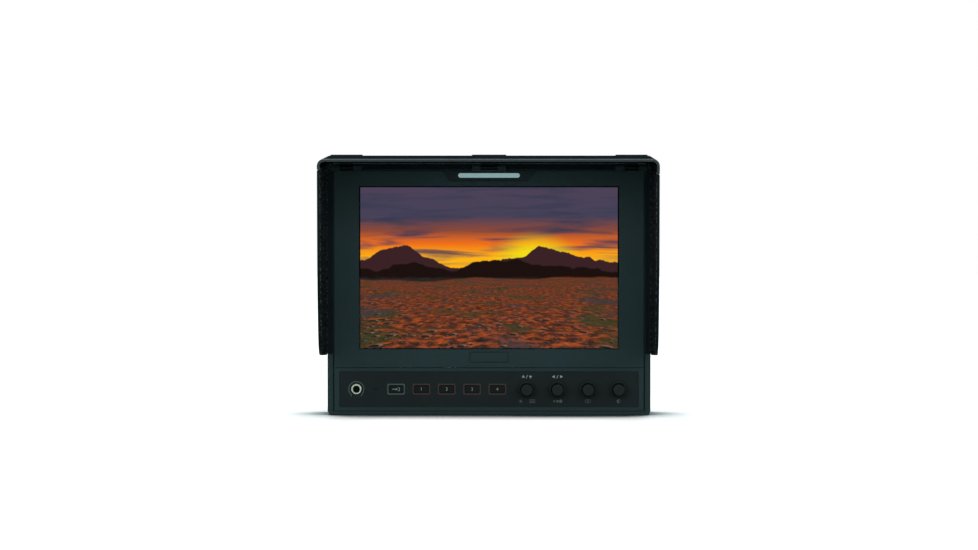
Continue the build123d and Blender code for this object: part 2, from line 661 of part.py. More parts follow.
with BuildPart() as rear_housing:
    with BuildSketch(at_y(FRAME_BACK_Y)):
        with Locations((0, BODY_H / 2)):
            RectangleRounded(BODY_W, BODY_H, BODY_CORNER_R)
    extrude(amount=-(REAR_Y - FRAME_BACK_Y))
    fillet(rear_housing.faces().sort_by(Axis.Y)[-1].edges(), REAR_EDGE_R)
    with BuildSketch(at_y(FRAME_BACK_Y)):
        with Locations((0, BODY_H / 2)):
            RectangleRounded(BODY_W - 2 * WALL, BODY_H - 2 * WALL, HOUSING_INNER_R)
    extrude(amount=-(REAR_Y - REAR_WALL - FRAME_BACK_Y), mode=Mode.SUBTRACT)
    with BuildSketch(at_y(BAY_FLOOR_Y - WALL)):
        with Locations((0, (BAY_LOW_Z + BAY_TOP_Z) / 2)):
            Rectangle(BAY_W + 2 * WALL, BAY_TOP_Z - BAY_LOW_Z + 2 * WALL)
    extrude(amount=-(REAR_Y - REAR_WALL - BAY_FLOOR_Y + WALL))
    with BuildSketch(at_y(BAY_FLOOR_Y)):
        with Locations((0, (BAY_LOW_Z + BAY_TOP_Z) / 2)):
            RectangleRounded(BAY_W, BAY_TOP_Z - BAY_LOW_Z, BAY_R)
    extrude(amount=-BAY_DEPTH, mode=Mode.SUBTRACT)
    with BuildSketch(at_y(REAR_Y - REAR_WALL)):
        with Locations(MOUNT_POINTS):
            Circle(MOUNT_INSERT_R + BOSS_WALL)
    extrude(amount=MOUNT_INSERT_L + BOSS_WALL - REAR_WALL)
    with BuildSketch(at_y(REAR_Y - REAR_WALL)):
        with Locations(STANDOFF_POINTS):
            Circle(STANDOFF_R)
    extrude(amount=REAR_Y - REAR_WALL - MAIN_BOARD_Y - BOARD_T)
    with BuildSketch(at_y(REAR_Y - REAR_WALL)):
        with Locations(SCREW_POINTS):
            Circle(SCREW_HEAD_R + SCREW_CLEARANCE + SCREW_BOSS_WALL)
    extrude(amount=REAR_Y - REAR_WALL - FRAME_BACK_Y)
    with BuildSketch(Plane.XY):
        Circle(TRIPOD_INSERT_R + BOSS_WALL)
    extrude(amount=BAY_LOW_Z - WALL)
    with BuildSketch(Plane.XY):
        Circle(TRIPOD_INSERT_R)
    extrude(amount=TRIPOD_INSERT_L, mode=Mode.SUBTRACT)
    with BuildSketch(at_y(REAR_Y)):
        with Locations(MOUNT_POINTS):
            Circle(MOUNT_INSERT_R)
    extrude(amount=MOUNT_INSERT_L, mode=Mode.SUBTRACT)
    with BuildSketch(at_y(REAR_Y)):
        with Locations(SCREW_POINTS):
            Circle(SCREW_R + SCREW_CLEARANCE)
    extrude(amount=REAR_Y - FRAME_BACK_Y, mode=Mode.SUBTRACT)
    with BuildSketch(at_y(REAR_Y)):
        with Locations(SCREW_POINTS):
            Circle(SCREW_HEAD_R + SCREW_CLEARANCE)
    extrude(amount=SCREW_SINK, mode=Mode.SUBTRACT)
    with BuildSketch(at_y(REAR_Y)):
        for side in (-1, 1):
            with Locations((side * VENT_X, VENT_Z)):
                with GridLocations(VENT_L, VENT_PITCH, 1, VENT_COUNT):
                    SlotOverall(VENT_L, VENT_W)
    extrude(amount=REAR_WALL, mode=Mode.SUBTRACT)
    with BuildSketch(at_y(BAY_FLOOR_Y)):
        with Locations([(x, CONNECTOR_Z) for x in BNC_XS]):
            Circle(BNC_R)
        with Locations((HDMI_X, CONNECTOR_Z)):
            Rectangle(HDMI_W + 2 * HDMI_SHELL, HDMI_H + 2 * HDMI_SHELL)
        with Locations((DC_X, CONNECTOR_Z)):
            Circle(DC_BODY_R)
    extrude(amount=WALL, mode=Mode.SUBTRACT)
save(rear_housing.part, "rear_housing")

with BuildPart() as tripod_insert:
    with BuildSketch(Plane.XY):
        Circle(TRIPOD_INSERT_R - SEAT_CLEARANCE)
        Circle(TRIPOD_THREAD_R, mode=Mode.SUBTRACT)
    extrude(amount=TRIPOD_INSERT_L)
save(tripod_insert.part, "tripod_insert")

with BuildPart() as mount_inserts:
    with BuildSketch(at_y(REAR_Y)):
        with Locations(MOUNT_POINTS):
            Circle(MOUNT_INSERT_R - SEAT_CLEARANCE)
            Circle(MOUNT_THREAD_R, mode=Mode.SUBTRACT)
    extrude(amount=MOUNT_INSERT_L)
save(mount_inserts.part, "mount_inserts")

with BuildPart() as case_screws:
    with BuildSketch(at_y(SCREW_SEAT_Y)):
        with Locations(SCREW_POINTS):
            Circle(SCREW_R)
    extrude(amount=SCREW_SEAT_Y - FRAME_BACK_Y + SCREW_BITE)
    with BuildSketch(at_y(SCREW_SEAT_Y)):
        with Locations(SCREW_POINTS):
            Circle(SCREW_HEAD_R)
    extrude(amount=-SCREW_HEAD_H)
    with BuildSketch(at_y(SCREW_SEAT_Y + SCREW_HEAD_H)):
        with Locations(SCREW_POINTS):
            RegularPolygon(SCREW_SOCKET_R, 6)
    extrude(amount=SCREW_SOCKET_DEPTH, mode=Mode.SUBTRACT)
save(case_screws.part, "case_screws")

with BuildPart() as main_board:
    with BuildSketch(at_y(MAIN_BOARD_Y)):
        with Locations((0, MAIN_BOARD_Z)):
            Rectangle(MAIN_BOARD_W, MAIN_BOARD_H)
    extrude(amount=-BOARD_T)
save(main_board.part, "main_board")

# ---- Rear connectors -------------------------------------------------------------------------
with BuildPart() as bnc_sockets:
    with BuildSketch(at_y(BAY_FLOOR_Y)):
        with Locations([(x, CONNECTOR_Z) for x in BNC_XS]):
            RegularPolygon(BNC_NUT_R, 6)
    extrude(amount=-BNC_NUT_H)
    with BuildSketch(at_y(BAY_FLOOR_Y)):
        with Locations([(x, CONNECTOR_Z) for x in BNC_XS]):
            Circle(BNC_R)
    extrude(amount=-BNC_L)
    with BuildSketch(at_y(BAY_FLOOR_Y)):
        with Locations([(x, CONNECTOR_Z) for x in BNC_XS]):
            Circle(BNC_R - SEAT_CLEARANCE)
    extrude(amount=WALL)
    for bnc_x in BNC_XS:
        with BuildSketch(at_x(bnc_x)):
            with Locations((BAY_FLOOR_Y + BNC_L - BNC_LUG_SETBACK, CONNECTOR_Z)):
                Circle(BNC_LUG_R)
        extrude(amount=BNC_R + BNC_LUG_H, both=True)
        with BuildSketch(at_y(BAY_FLOOR_Y + BNC_L)):
            with Locations((bnc_x, CONNECTOR_Z)):
                Circle(BNC_BORE_R)
                Circle(BNC_CORE_R, mode=Mode.SUBTRACT)
        extrude(amount=BNC_L - BNC_NUT_H, mode=Mode.SUBTRACT)
save(bnc_sockets.part, "bnc_sockets")

with BuildPart() as hdmi_socket:
    with BuildSketch(at_y(BAY_FLOOR_Y + HDMI_SHELL)):
        with Locations((HDMI_X, CONNECTOR_Z)):
            Rectangle(HDMI_W + 2 * HDMI_SHELL - 2 * SEAT_CLEARANCE,
                      HDMI_H + 2 * HDMI_SHELL - 2 * SEAT_CLEARANCE)
    extrude(amount=HDMI_L)
    with BuildSketch(at_y(BAY_FLOOR_Y + HDMI_SHELL)):
        with Locations((HDMI_X, CONNECTOR_Z)):
            Rectangle(HDMI_W, HDMI_H)
    extrude(amount=HDMI_L - 2 * HDMI_SHELL, mode=Mode.SUBTRACT)
save(hdmi_socket.part, "hdmi_socket")

with BuildPart() as dc_socket:
    with BuildSketch(at_y(BAY_FLOOR_Y)):
        with Locations((DC_X, CONNECTOR_Z)):
            Circle(DC_BODY_R - SEAT_CLEARANCE)
    extrude(amount=DC_L)
    with BuildSketch(at_y(BAY_FLOOR_Y)):
        with Locations((DC_X, CONNECTOR_Z)):
            Circle(DC_FLANGE_R)
    extrude(amount=-DC_FLANGE_H)
    with BuildSketch(at_y(BAY_FLOOR_Y + DC_FLANGE_H)):
        with Locations((DC_X, CONNECTOR_Z)):
            Circle(DC_BORE_R)
            Circle(DC_PIN_R, mode=Mode.SUBTRACT)
    extrude(amount=DC_L, mode=Mode.SUBTRACT)
save(dc_socket.part, "dc_socket")

# ---- Sun hood --------------------------------------------------------------------------------
WING_AXIS_Z = {"left": HOOD_INNER_Z - WING_AXIS_DROP_LEFT, "right": HOOD_INNER_Z - WING_AXIS_DROP_RIGHT}
SIDE = {"left": -1, "right": 1}
KNUCKLE_REACH = WING_KNUCKLE_R + WING_KNUCKLE_GAP
HINGE_FRONT_Y = FRONT_Y - WING_TOP_REACH
HINGE_L = WING_REAR_Y - HINGE_FRONT_Y
KNUCKLE_PITCH = (HINGE_L + WING_KNUCKLE_SEAM) / WING_KNUCKLES
KNUCKLE_L = KNUCKLE_PITCH - WING_KNUCKLE_SEAM


def knuckle_starts(parity):
    """Rear ends of every second knuckle along a wing hinge: 0 for the cover's, 1 for the wing's."""
    return [WING_REAR_Y - i * KNUCKLE_PITCH for i in range(parity, WING_KNUCKLES, 2)]


def knuckle_sketch(name, toward):
    """Section of a knuckle and its web; toward is 1 for a web that rises, -1 for one that drops."""
    sheet_x = SIDE[name] * (WING_OUTER_X - SHEET_T / 2)
    with BuildSketch() as section:
        with Locations((SIDE[name] * WING_AXIS_X, WING_AXIS_Z[name])):
            Circle(WING_KNUCKLE_R)
        with Locations((sheet_x, WING_AXIS_Z[name] + toward * KNUCKLE_REACH / 2)):
            Rectangle(SHEET_T, KNUCKLE_REACH)
    return section.sketch


def on_outside(edge):
    """Whether both ends of an edge lie on the hood's outer surface."""
    return all(end.Z > HOOD_TOP_Z - SHEET_T / 2 or abs(end.X) > WING_OUTER_X - SHEET_T / 2
               for end in (edge @ 0, edge @ 1))


with BuildPart() as hood_cover:
    lowest_lip_z = WING_AXIS_Z["right"] + KNUCKLE_REACH
    with BuildSketch(at_y(COVER_REAR_Y)):
        add(arch(WING_OUTER_X, HOOD_TOP_Z, lowest_lip_z, HOOD_OUTER_R))
        add(arch(WING_OUTER_X - SHEET_T, HOOD_TOP_Z - SHEET_T, lowest_lip_z - SHEET_T,
                 HOOD_OUTER_R - SHEET_T), mode=Mode.SUBTRACT)
        left_lip_z = WING_AXIS_Z["left"] + KNUCKLE_REACH
        with Locations((-WING_OUTER_X, (left_lip_z + lowest_lip_z) / 2)):
            Rectangle(2 * HOOD_T, left_lip_z - lowest_lip_z, mode=Mode.SUBTRACT)
    extrude(amount=COVER_REAR_Y - HOOD_FRONT_Y)
    front_face = hood_cover.faces().sort_by(Axis.Y)[0]
    fillet([edge for edge in front_face.edges() if on_outside(edge)], HOOD_EDGE_R)
    with BuildSketch(at_y(COVER_REAR_Y)):
        with Locations((0, (BODY_H + REAR_LIP_GAP + HOOD_TOP_Z - SHEET_T / 2) / 2)):
            Rectangle(2 * (WING_OUTER_X - HOOD_OUTER_R), HOOD_TOP_Z - SHEET_T / 2 - BODY_H - REAR_LIP_GAP)
    extrude(amount=REAR_LIP_T)
    for name in SIDE:
        for start_y in knuckle_starts(0):
            with BuildSketch(at_y(start_y)):
                add(knuckle_sketch(name, 1))
            extrude(amount=KNUCKLE_L)
        with BuildSketch(at_y(WING_REAR_Y)):
            with Locations((SIDE[name] * WING_AXIS_X, WING_AXIS_Z[name])):
                Circle(WING_PIN_R + PIN_CLEARANCE)
        extrude(amount=HINGE_L - WING_PIN_END, mode=Mode.SUBTRACT)
    for centre, width in zip(HINGE_XS, HINGE_WS):
        arm_w = width - 2 * (HINGE_EAR_W + HINGE_GAP)
        with BuildSketch(at_x(centre - arm_w / 2)):
            with Locations((COVER_AXIS_Y, COVER_AXIS_Z)):
                Circle(COVER_KNUCKLE_R)
            with Locations((COVER_AXIS_Y, (COVER_AXIS_Z + HOOD_TOP_Z - SHEET_T / 2) / 2)):
                Rectangle(COVER_ARM_T, HOOD_TOP_Z - SHEET_T / 2 - COVER_AXIS_Z)
            with Locations((COVER_AXIS_Y, COVER_AXIS_Z)):
                Circle(COVER_PIN_R + PIN_CLEARANCE, mode=Mode.SUBTRACT)
        extrude(amount=arm_w)
        with BuildSketch(Plane.XY.offset(HOOD_TOP_Z)):
            with Locations((centre, COVER_REAR_Y - PAD_L / 2)):
                Rectangle(width, PAD_L)
        extrude(amount=PAD_H)
save(hood_cover.part, "hood_cover")

with BuildPart() as cover_liner:
    liner_low_z = HOOD_INNER_Z - HOOD_OUTER_R + HOOD_T
    with BuildSketch(at_y(WING_REAR_Y)):
        add(arch(WING_OUTER_X - SHEET_T, HOOD_TOP_Z - SHEET_T, liner_low_z, HOOD_OUTER_R - SHEET_T))
        add(arch(WING_INNER_X, HOOD_INNER_Z, liner_low_z - LINER_T, HOOD_OUTER_R - HOOD_T),
            mode=Mode.SUBTRACT)
    extrude(amount=WING_REAR_Y - HOOD_FRONT_Y)
save(cover_liner.part, "cover_liner")


def wing_outline(top_z):
    """Side view of a wing: straight rear edge, large lower front corner, front edge leaning back."""
    with BuildSketch() as outline:
        with BuildLine():
            FilletPolyline(
                (WING_REAR_Y, WING_REAR_LOW_Z),
                (FRONT_Y - WING_LOW_REACH, WING_LOW_Z),
                (FRONT_Y - WING_MID_REACH, WING_MID_Z),
                (FRONT_Y - WING_TOP_REACH, top_z),
                radius=(WING_LOW_R, WING_MID_R),
            )
            Polyline((FRONT_Y - WING_TOP_REACH, top_z), (WING_REAR_Y, top_z),
                     (WING_REAR_Y, WING_REAR_LOW_Z))
        make_face()
    return outline.sketch


def make_wing(name):
    """Wing sheet with its knuckles, and the thin grained liner on its inner face."""
    side = SIDE[name]
    top_z = WING_AXIS_Z[name] - KNUCKLE_REACH
    with BuildPart() as wing:
        with BuildSketch(at_x(side * WING_OUTER_X)):
            add(wing_outline(top_z))
        extrude(amount=-side * SHEET_T)
        outer_face = wing.faces().sort_by(Axis.X)[-1 if side > 0 else 0]
        fillet([edge for edge in outer_face.edges() if (edge @ 0.5).Z < top_z - SHEET_T], HOOD_EDGE_R)
        for start_y in knuckle_starts(1):
            with BuildSketch(at_y(start_y)):
                add(knuckle_sketch(name, -1))
            extrude(amount=KNUCKLE_L)
        with BuildSketch(at_y(WING_REAR_Y)):
            with Locations((side * WING_AXIS_X, WING_AXIS_Z[name])):
                Circle(WING_PIN_R + PIN_CLEARANCE)
        extrude(amount=HINGE_L, mode=Mode.SUBTRACT)
    with BuildPart() as liner:
        with BuildSketch(at_x(side * (WING_OUTER_X - SHEET_T))):
            add(wing_outline(top_z))
        extrude(amount=-side * LINER_T)
    return wing.part, liner.part


def make_wing_pin(name):
    """Pin of one wing hinge."""
    with BuildPart() as pin:
        with BuildSketch(at_y(WING_REAR_Y)):
            with Locations((SIDE[name] * WING_AXIS_X, WING_AXIS_Z[name])):
                Circle(WING_PIN_R)
        extrude(amount=HINGE_L - WING_PIN_END - PIN_CLEARANCE)
    return pin.part


for name in SIDE:
    wing_part, wing_liner_part = make_wing(name)
    save(wing_part, f"{name}_wing")
    save(wing_liner_part, f"{name}_wing_liner")
    save(make_wing_pin(name), f"{name}_wing_pin")

with BuildPart() as cover_pins:
    for centre, width in zip(HINGE_XS, HINGE_WS):
        with BuildSketch(at_x(centre - width / 2)):
            with Locations((COVER_AXIS_Y, COVER_AXIS_Z)):
                Circle(COVER_PIN_R)
        extrude(amount=width)
save(cover_pins.part, "cover_pins")
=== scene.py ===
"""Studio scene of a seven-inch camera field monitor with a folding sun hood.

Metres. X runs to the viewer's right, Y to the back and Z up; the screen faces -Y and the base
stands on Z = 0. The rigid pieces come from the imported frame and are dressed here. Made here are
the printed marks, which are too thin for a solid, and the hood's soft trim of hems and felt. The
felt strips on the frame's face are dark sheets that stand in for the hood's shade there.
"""

import json
import logging
import math
from dataclasses import dataclass
from enum import Enum
from typing import Any

import bmesh
import bpy
from mathutils import Matrix, Vector

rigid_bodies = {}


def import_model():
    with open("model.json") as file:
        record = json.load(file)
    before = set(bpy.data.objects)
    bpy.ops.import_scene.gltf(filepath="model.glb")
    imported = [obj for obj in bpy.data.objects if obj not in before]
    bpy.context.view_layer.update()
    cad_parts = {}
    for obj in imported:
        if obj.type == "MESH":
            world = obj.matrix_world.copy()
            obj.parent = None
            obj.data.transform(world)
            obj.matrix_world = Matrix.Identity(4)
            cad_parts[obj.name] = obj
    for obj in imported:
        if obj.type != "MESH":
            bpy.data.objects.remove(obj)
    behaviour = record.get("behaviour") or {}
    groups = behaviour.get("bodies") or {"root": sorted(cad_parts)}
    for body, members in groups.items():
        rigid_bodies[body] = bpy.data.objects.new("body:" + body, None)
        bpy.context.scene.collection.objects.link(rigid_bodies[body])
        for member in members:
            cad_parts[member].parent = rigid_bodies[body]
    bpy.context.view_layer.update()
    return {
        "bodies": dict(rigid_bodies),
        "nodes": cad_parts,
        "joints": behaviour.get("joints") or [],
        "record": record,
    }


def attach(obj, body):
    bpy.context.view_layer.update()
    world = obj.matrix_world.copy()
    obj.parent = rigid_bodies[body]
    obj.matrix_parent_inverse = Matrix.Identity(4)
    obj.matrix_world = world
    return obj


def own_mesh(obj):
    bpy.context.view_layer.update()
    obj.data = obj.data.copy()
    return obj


LOG = logging.getLogger("monitor")
MM = 0.001
INK_T = 0.03  # Thickness of a print, in millimetres.
CAP_SHARE = 0.7  # Height of a numeral as a share of its font size.
MERGE_GAP = 1e-7  # Corners of a print that are closer than this, in metres, become one.
WHITE = (1.0, 1.0, 1.0, 1.0)
BLACK = (0.0, 0.0, 0.0, 1.0)


class Body(Enum):
    """Moving bodies that a piece made here can ride on."""

    MONITOR = "body"
    COVER = "cover"
    LEFT_WING = "left_wing"
    RIGHT_WING = "right_wing"
    INPUT_KEY = "input_key"
    FUNCTION_KEY_1 = "function_key_1"
    FUNCTION_KEY_2 = "function_key_2"
    FUNCTION_KEY_3 = "function_key_3"
    FUNCTION_KEY_4 = "function_key_4"


def linear(hex_colour: str) -> tuple[float, float, float, float]:
    """Turns an sRGB hex colour to linear.

    Args:
        hex_colour: Six hex digits after a hash.

    Returns:
        Red, green, blue and an alpha of 1.
    """
    levels = [int(hex_colour[i:i + 2], 16) / 255 for i in (1, 3, 5)]
    return (*(v / 12.92 if v <= 0.04045 else ((v + 0.055) / 1.055) ** 2.4 for v in levels), 1.0)


def per_mm(size: float) -> float:
    """Texture scale whose features are about size millimetres across."""
    return 1 / (size * MM)


def add_node(tree: bpy.types.NodeTree, kind: str, options: dict[str, Any] | None = None,
             values: dict[Any, Any] | None = None, links: dict[Any, Any] | None = None) -> bpy.types.Node:
    """Adds one node with its settings and links.

    Args:
        tree: Node tree that takes the node.
        kind: Blender's type name of the node.
        options: Attributes of the node.
        values: Constants of its inputs, by name or number.
        links: Output sockets that feed its inputs, by name or number.

    Returns:
        The new node.
    """
    node = tree.nodes.new(kind)
    for name, value in (options or {}).items():
        setattr(node, name, value)
    for key, value in (values or {}).items():
        node.inputs[key].default_value = value
    for key, socket in (links or {}).items():
        tree.links.new(socket, node.inputs[key])
    return node


def set_ramp(node: bpy.types.Node, stops: list[tuple[float, str]]) -> None:
    """Sets a colour ramp's stops.

    Args:
        node: Colour ramp node.
        stops: Positions from 0 to 1 with their hex colours, lowest first.
    """
    elements = node.color_ramp.elements
    while len(elements) < len(stops):
        elements.new(1.0)
    for element, (position, colour) in zip(elements, stops):
        element.position = position
        element.color = linear(colour)


def thicken(mesh: bmesh.types.BMesh, faces: list[bmesh.types.BMFace], by: Vector, keep: bool = True) -> None:
    """Gives flat faces a thickness, with their normals outwards.

    Args:
        mesh: Mesh that holds them.
        faces: The flat faces.
        by: Way and length of the thickness, in metres.
        keep: Whether the operator keeps the flat faces where they are.
    """
    risen = bmesh.ops.extrude_face_region(mesh, geom=faces, use_keep_orig=keep)
    bmesh.ops.translate(mesh, vec=by, verts=[v for v in risen["geom"] if isinstance(v, bmesh.types.BMVert)])
    bmesh.ops.recalc_face_normals(mesh, faces=mesh.faces)


def to_data(name: str, mesh: bmesh.types.BMesh) -> bpy.types.Mesh:
    """Turns a finished bmesh into mesh data, and frees it.

    Args:
        name: Name of the data.
        mesh: The finished bmesh.

    Returns:
        The mesh data.
    """
    data = bpy.data.meshes.new(name)
    mesh.to_mesh(data)
    mesh.free()
    return data


# ---- Finishes --------------------------------------------------------------------------------
@dataclass(frozen=True)
class Finish:
    """A plain finish, and the base of the patterned ones.

    Attributes:
        name: Common name of the material and how it was made.
        colour: Its sRGB colour.
        roughness: Microfacet roughness.
        metallic: 1 for a bare metal.
        ior: Refractive index of a plastic, rubber or glass.
        glow: Strength of the light that a lamp behind it sends through; on the studio paper, the strength of a glow
            that only the camera sees.
    """

    name: str
    colour: str
    roughness: float
    metallic: float = 0.0
    ior: float = 1.5
    glow: float = 0.0

    def pattern(self, tree: bpy.types.NodeTree, shader: bpy.types.Node, place: Any) -> None:
        """Adds the finish's own pattern; a plain finish has none."""

    def material(self) -> bpy.types.Material:
        """Makes the material on first use.

        Returns:
            The material, shared by every piece with this finish.
        """
        made = bpy.data.materials.get(self.name)
        if made:
            return made
        made = bpy.data.materials.new(self.name)
        made.use_nodes = True
        made.diffuse_color = linear(self.colour)
        tree = made.node_tree
        tree.nodes.clear()
        shader = add_node(tree, "ShaderNodeBsdfPrincipled", values={
            "Base Color": linear(self.colour), "Roughness": self.roughness,
            "Metallic": self.metallic, "IOR": self.ior, "Emission Color": linear(self.colour),
            "Emission Strength": self.glow})
        add_node(tree, "ShaderNodeOutputMaterial", links={"Surface": shader.outputs["BSDF"]})
        place = add_node(tree, "ShaderNodeTexCoord").outputs["Object"]
        self.pattern(tree, shader, place)
        return made


@dataclass(frozen=True)
class Moulded(Finish):
    """Plastic, paint or rubber with a fine grit from its tool, and a faint cloudiness.

    Attributes:
        shade: Colour of the darker clouds.
        grit_mm: Width of a grain. Real spark grit is 0.1 mm; it is drawn coarser so that it shows.
        grit_depth_mm: Height of a grain.
        cloud_mm: Width of a cloud.
        polish: How far roughness varies either way.
        grit_strength: How strongly the grit tips the normal.
    """

    shade: str = "#101010"
    grit_mm: float = 0.45
    grit_depth_mm: float = 0.02
    cloud_mm: float = 22.0
    polish: float = 0.06
    grit_strength: float = 0.6

    def pattern(self, tree: bpy.types.NodeTree, shader: bpy.types.Node, place: Any) -> None:
        """Adds grit to the normal, and clouds to the colour and roughness."""
        cloud = add_node(tree, "ShaderNodeTexNoise", values={
            "Scale": per_mm(self.cloud_mm), "Detail": 4.0}, links={"Vector": place})
        tone = add_node(tree, "ShaderNodeValToRGB", links={"Fac": cloud.outputs["Fac"]})
        set_ramp(tone, [(0.3, self.shade), (0.7, self.colour)])
        grit = add_node(tree, "ShaderNodeTexNoise", values={
            "Scale": per_mm(self.grit_mm), "Detail": 2.0}, links={"Vector": place})
        gloss = add_node(tree, "ShaderNodeMapRange", values={
            "To Min": self.roughness - self.polish, "To Max": self.roughness + self.polish},
            links={"Value": cloud.outputs["Fac"]})
        bump = add_node(tree, "ShaderNodeBump", values={
            "Strength": self.grit_strength, "Distance": self.grit_depth_mm * MM}, links={"Height": grit.outputs["Fac"]})
        tree.links.new(tone.outputs["Color"], shader.inputs["Base Color"])
        tree.links.new(gloss.outputs["Result"], shader.inputs["Roughness"])
        tree.links.new(bump.outputs["Normal"], shader.inputs["Normal"])


@dataclass(frozen=True)
class TwoShot(Moulded):
    """Moulded plastic whose sunken fields are painted darker than its face, as painted shade in the recesses.

    Attributes:
        field_colour: Painted shade colour of the sunken fields.
        field_y_mm: Depth at which they start.
    """

    field_colour: str = "#101010"
    field_y_mm: float = -15.2

    def pattern(self, tree: bpy.types.NodeTree, shader: bpy.types.Node, place: Any) -> None:
        """Adds the moulded pattern, and paints shade on what lies deeper than the face."""
        super().pattern(tree, shader, place)
        face = shader.inputs["Base Color"].links[0].from_socket
        depth = add_node(tree, "ShaderNodeSeparateXYZ", links={"Vector": place}).outputs["Y"]
        sunk = add_node(tree, "ShaderNodeMath", {"operation": "GREATER_THAN"}, {1: self.field_y_mm * MM}, {0: depth})
        # Painted shade: whatever lies deeper than the face takes the darker colour.
        mix = add_node(tree, "ShaderNodeMix", {"data_type": "RGBA"}, {7: linear(self.field_colour)},
                       {0: sunk.outputs[0], 6: face})
        tree.links.new(mix.outputs[2], shader.inputs["Base Color"])


@dataclass(frozen=True)
class RolledSheet(Moulded):
    """Dull moulded sheet with a burnished front edge.

    Attributes:
        edge_roughness: Roughness of the edge.
        edge_ior: Refractive index of the edge.
        edge_y_mm: Depth in front of which the sheet is burnished.
    """

    edge_roughness: float = 0.17
    edge_ior: float = 1.5
    edge_y_mm: float = -123.5

    def pattern(self, tree: bpy.types.NodeTree, shader: bpy.types.Node, place: Any) -> None:
        """Adds the moulded pattern, and a closer gloss along the edge."""
        super().pattern(tree, shader, place)
        depth = add_node(tree, "ShaderNodeSeparateXYZ", links={"Vector": place}).outputs["Y"]
        edge = add_node(tree, "ShaderNodeMath", {"operation": "LESS_THAN"}, {1: self.edge_y_mm * MM}, {0: depth})
        for socket, dull, burnished in (("Roughness", self.roughness, self.edge_roughness),
                                        ("IOR", self.ior, self.edge_ior)):
            blend = add_node(tree, "ShaderNodeMapRange", values={"To Min": dull, "To Max": burnished},
                             links={"Value": edge.outputs[0]})
            tree.links.new(blend.outputs["Result"], shader.inputs[socket])


@dataclass(frozen=True)
class Grained(Finish):
    """Leathercloth: raised pebbles painted pale as lit tops, parted by creases painted dark as shade.

    Attributes:
        crease: Painted shade colour down in the creases.
        pebble_mm: Width of a pebble.
        run: How much longer than wide it is along the depth, so that it shows on a wing seen edge on.
        crease_depth_mm: Depth of a crease.
        crease_strength: How strongly the creases tip the normal.
    """

    crease: str = "#060707"
    pebble_mm: float = 2.0
    run: float = 1.0
    crease_depth_mm: float = 0.3
    crease_strength: float = 0.9

    def pattern(self, tree: bpy.types.NodeTree, shader: bpy.types.Node, place: Any) -> None:
        """Adds the pebbles to the normal, and to the colour as a painted highlight on their tops and painted shade in
        the creases.
        """
        place = add_node(tree, "ShaderNodeMapping", values={"Scale": (1, 1 / self.run, 1)},
                         links={"Vector": place}).outputs["Vector"]
        wander = add_node(tree, "ShaderNodeTexNoise", values={
            "Scale": per_mm(3 * self.pebble_mm), "Detail": 2.0}, links={"Vector": place})
        shift = add_node(tree, "ShaderNodeVectorMath", {"operation": "SCALE"}, {
            "Scale": self.pebble_mm * MM}, {0: wander.outputs["Color"]})
        moved = add_node(tree, "ShaderNodeVectorMath", {"operation": "ADD"}, links={
            0: place, 1: shift.outputs["Vector"]})
        cells = add_node(tree, "ShaderNodeTexVoronoi", {"feature": "DISTANCE_TO_EDGE"}, {
            "Scale": per_mm(self.pebble_mm)}, {"Vector": moved.outputs["Vector"]})
        height = add_node(tree, "ShaderNodeMapRange", {"interpolation_type": "SMOOTHSTEP"}, {
            "From Max": 0.25}, {"Value": cells.outputs["Distance"]})
        # Painted light and shade: the creases take the dark colour and the pebble tops the pale one.
        tone = add_node(tree, "ShaderNodeValToRGB", links={"Fac": height.outputs["Result"]})
        set_ramp(tone, [(0.1, self.crease), (0.9, self.colour)])
        bump = add_node(tree, "ShaderNodeBump", values={
            "Strength": self.crease_strength, "Distance": self.crease_depth_mm * MM},
            links={"Height": height.outputs["Result"]})
        tree.links.new(tone.outputs["Color"], shader.inputs["Base Color"])
        tree.links.new(bump.outputs["Normal"], shader.inputs["Normal"])


@dataclass(frozen=True)
class Worked(Finish):
    """Bare or plated metal with fine tool lines.

    Attributes:
        line_mm: Spacing of the lines. Real ones are 0.05 mm; they are drawn coarser so they show.
        smear: How much longer a line is than it is wide.
        line_depth_mm: Depth of a line.
        line_strength: How strongly the lines tip the normal.
        brighter: How far roughness falls along the brightest lines.
        duller: How far it rises along the dullest.
    """

    line_mm: float = 0.25
    smear: float = 12.0
    line_depth_mm: float = 0.01
    line_strength: float = 0.3
    brighter: float = 0.08
    duller: float = 0.12

    def pattern(self, tree: bpy.types.NodeTree, shader: bpy.types.Node, place: Any) -> None:
        """Adds drawn-out lines to the roughness and the normal."""
        stretch = add_node(tree, "ShaderNodeMapping", values={"Scale": (1 / self.smear, 1, 1)},
                           links={"Vector": place})
        lines = add_node(tree, "ShaderNodeTexNoise", values={
            "Scale": per_mm(self.line_mm), "Detail": 3.0}, links={"Vector": stretch.outputs["Vector"]})
        gloss = add_node(tree, "ShaderNodeMapRange", values={
            "To Min": self.roughness - self.brighter, "To Max": self.roughness + self.duller},
            links={"Value": lines.outputs["Fac"]})
        bump = add_node(tree, "ShaderNodeBump", values={
            "Strength": self.line_strength, "Distance": self.line_depth_mm * MM},
            links={"Height": lines.outputs["Fac"]})
        tree.links.new(gloss.outputs["Result"], shader.inputs["Roughness"])
        tree.links.new(bump.outputs["Normal"], shader.inputs["Normal"])


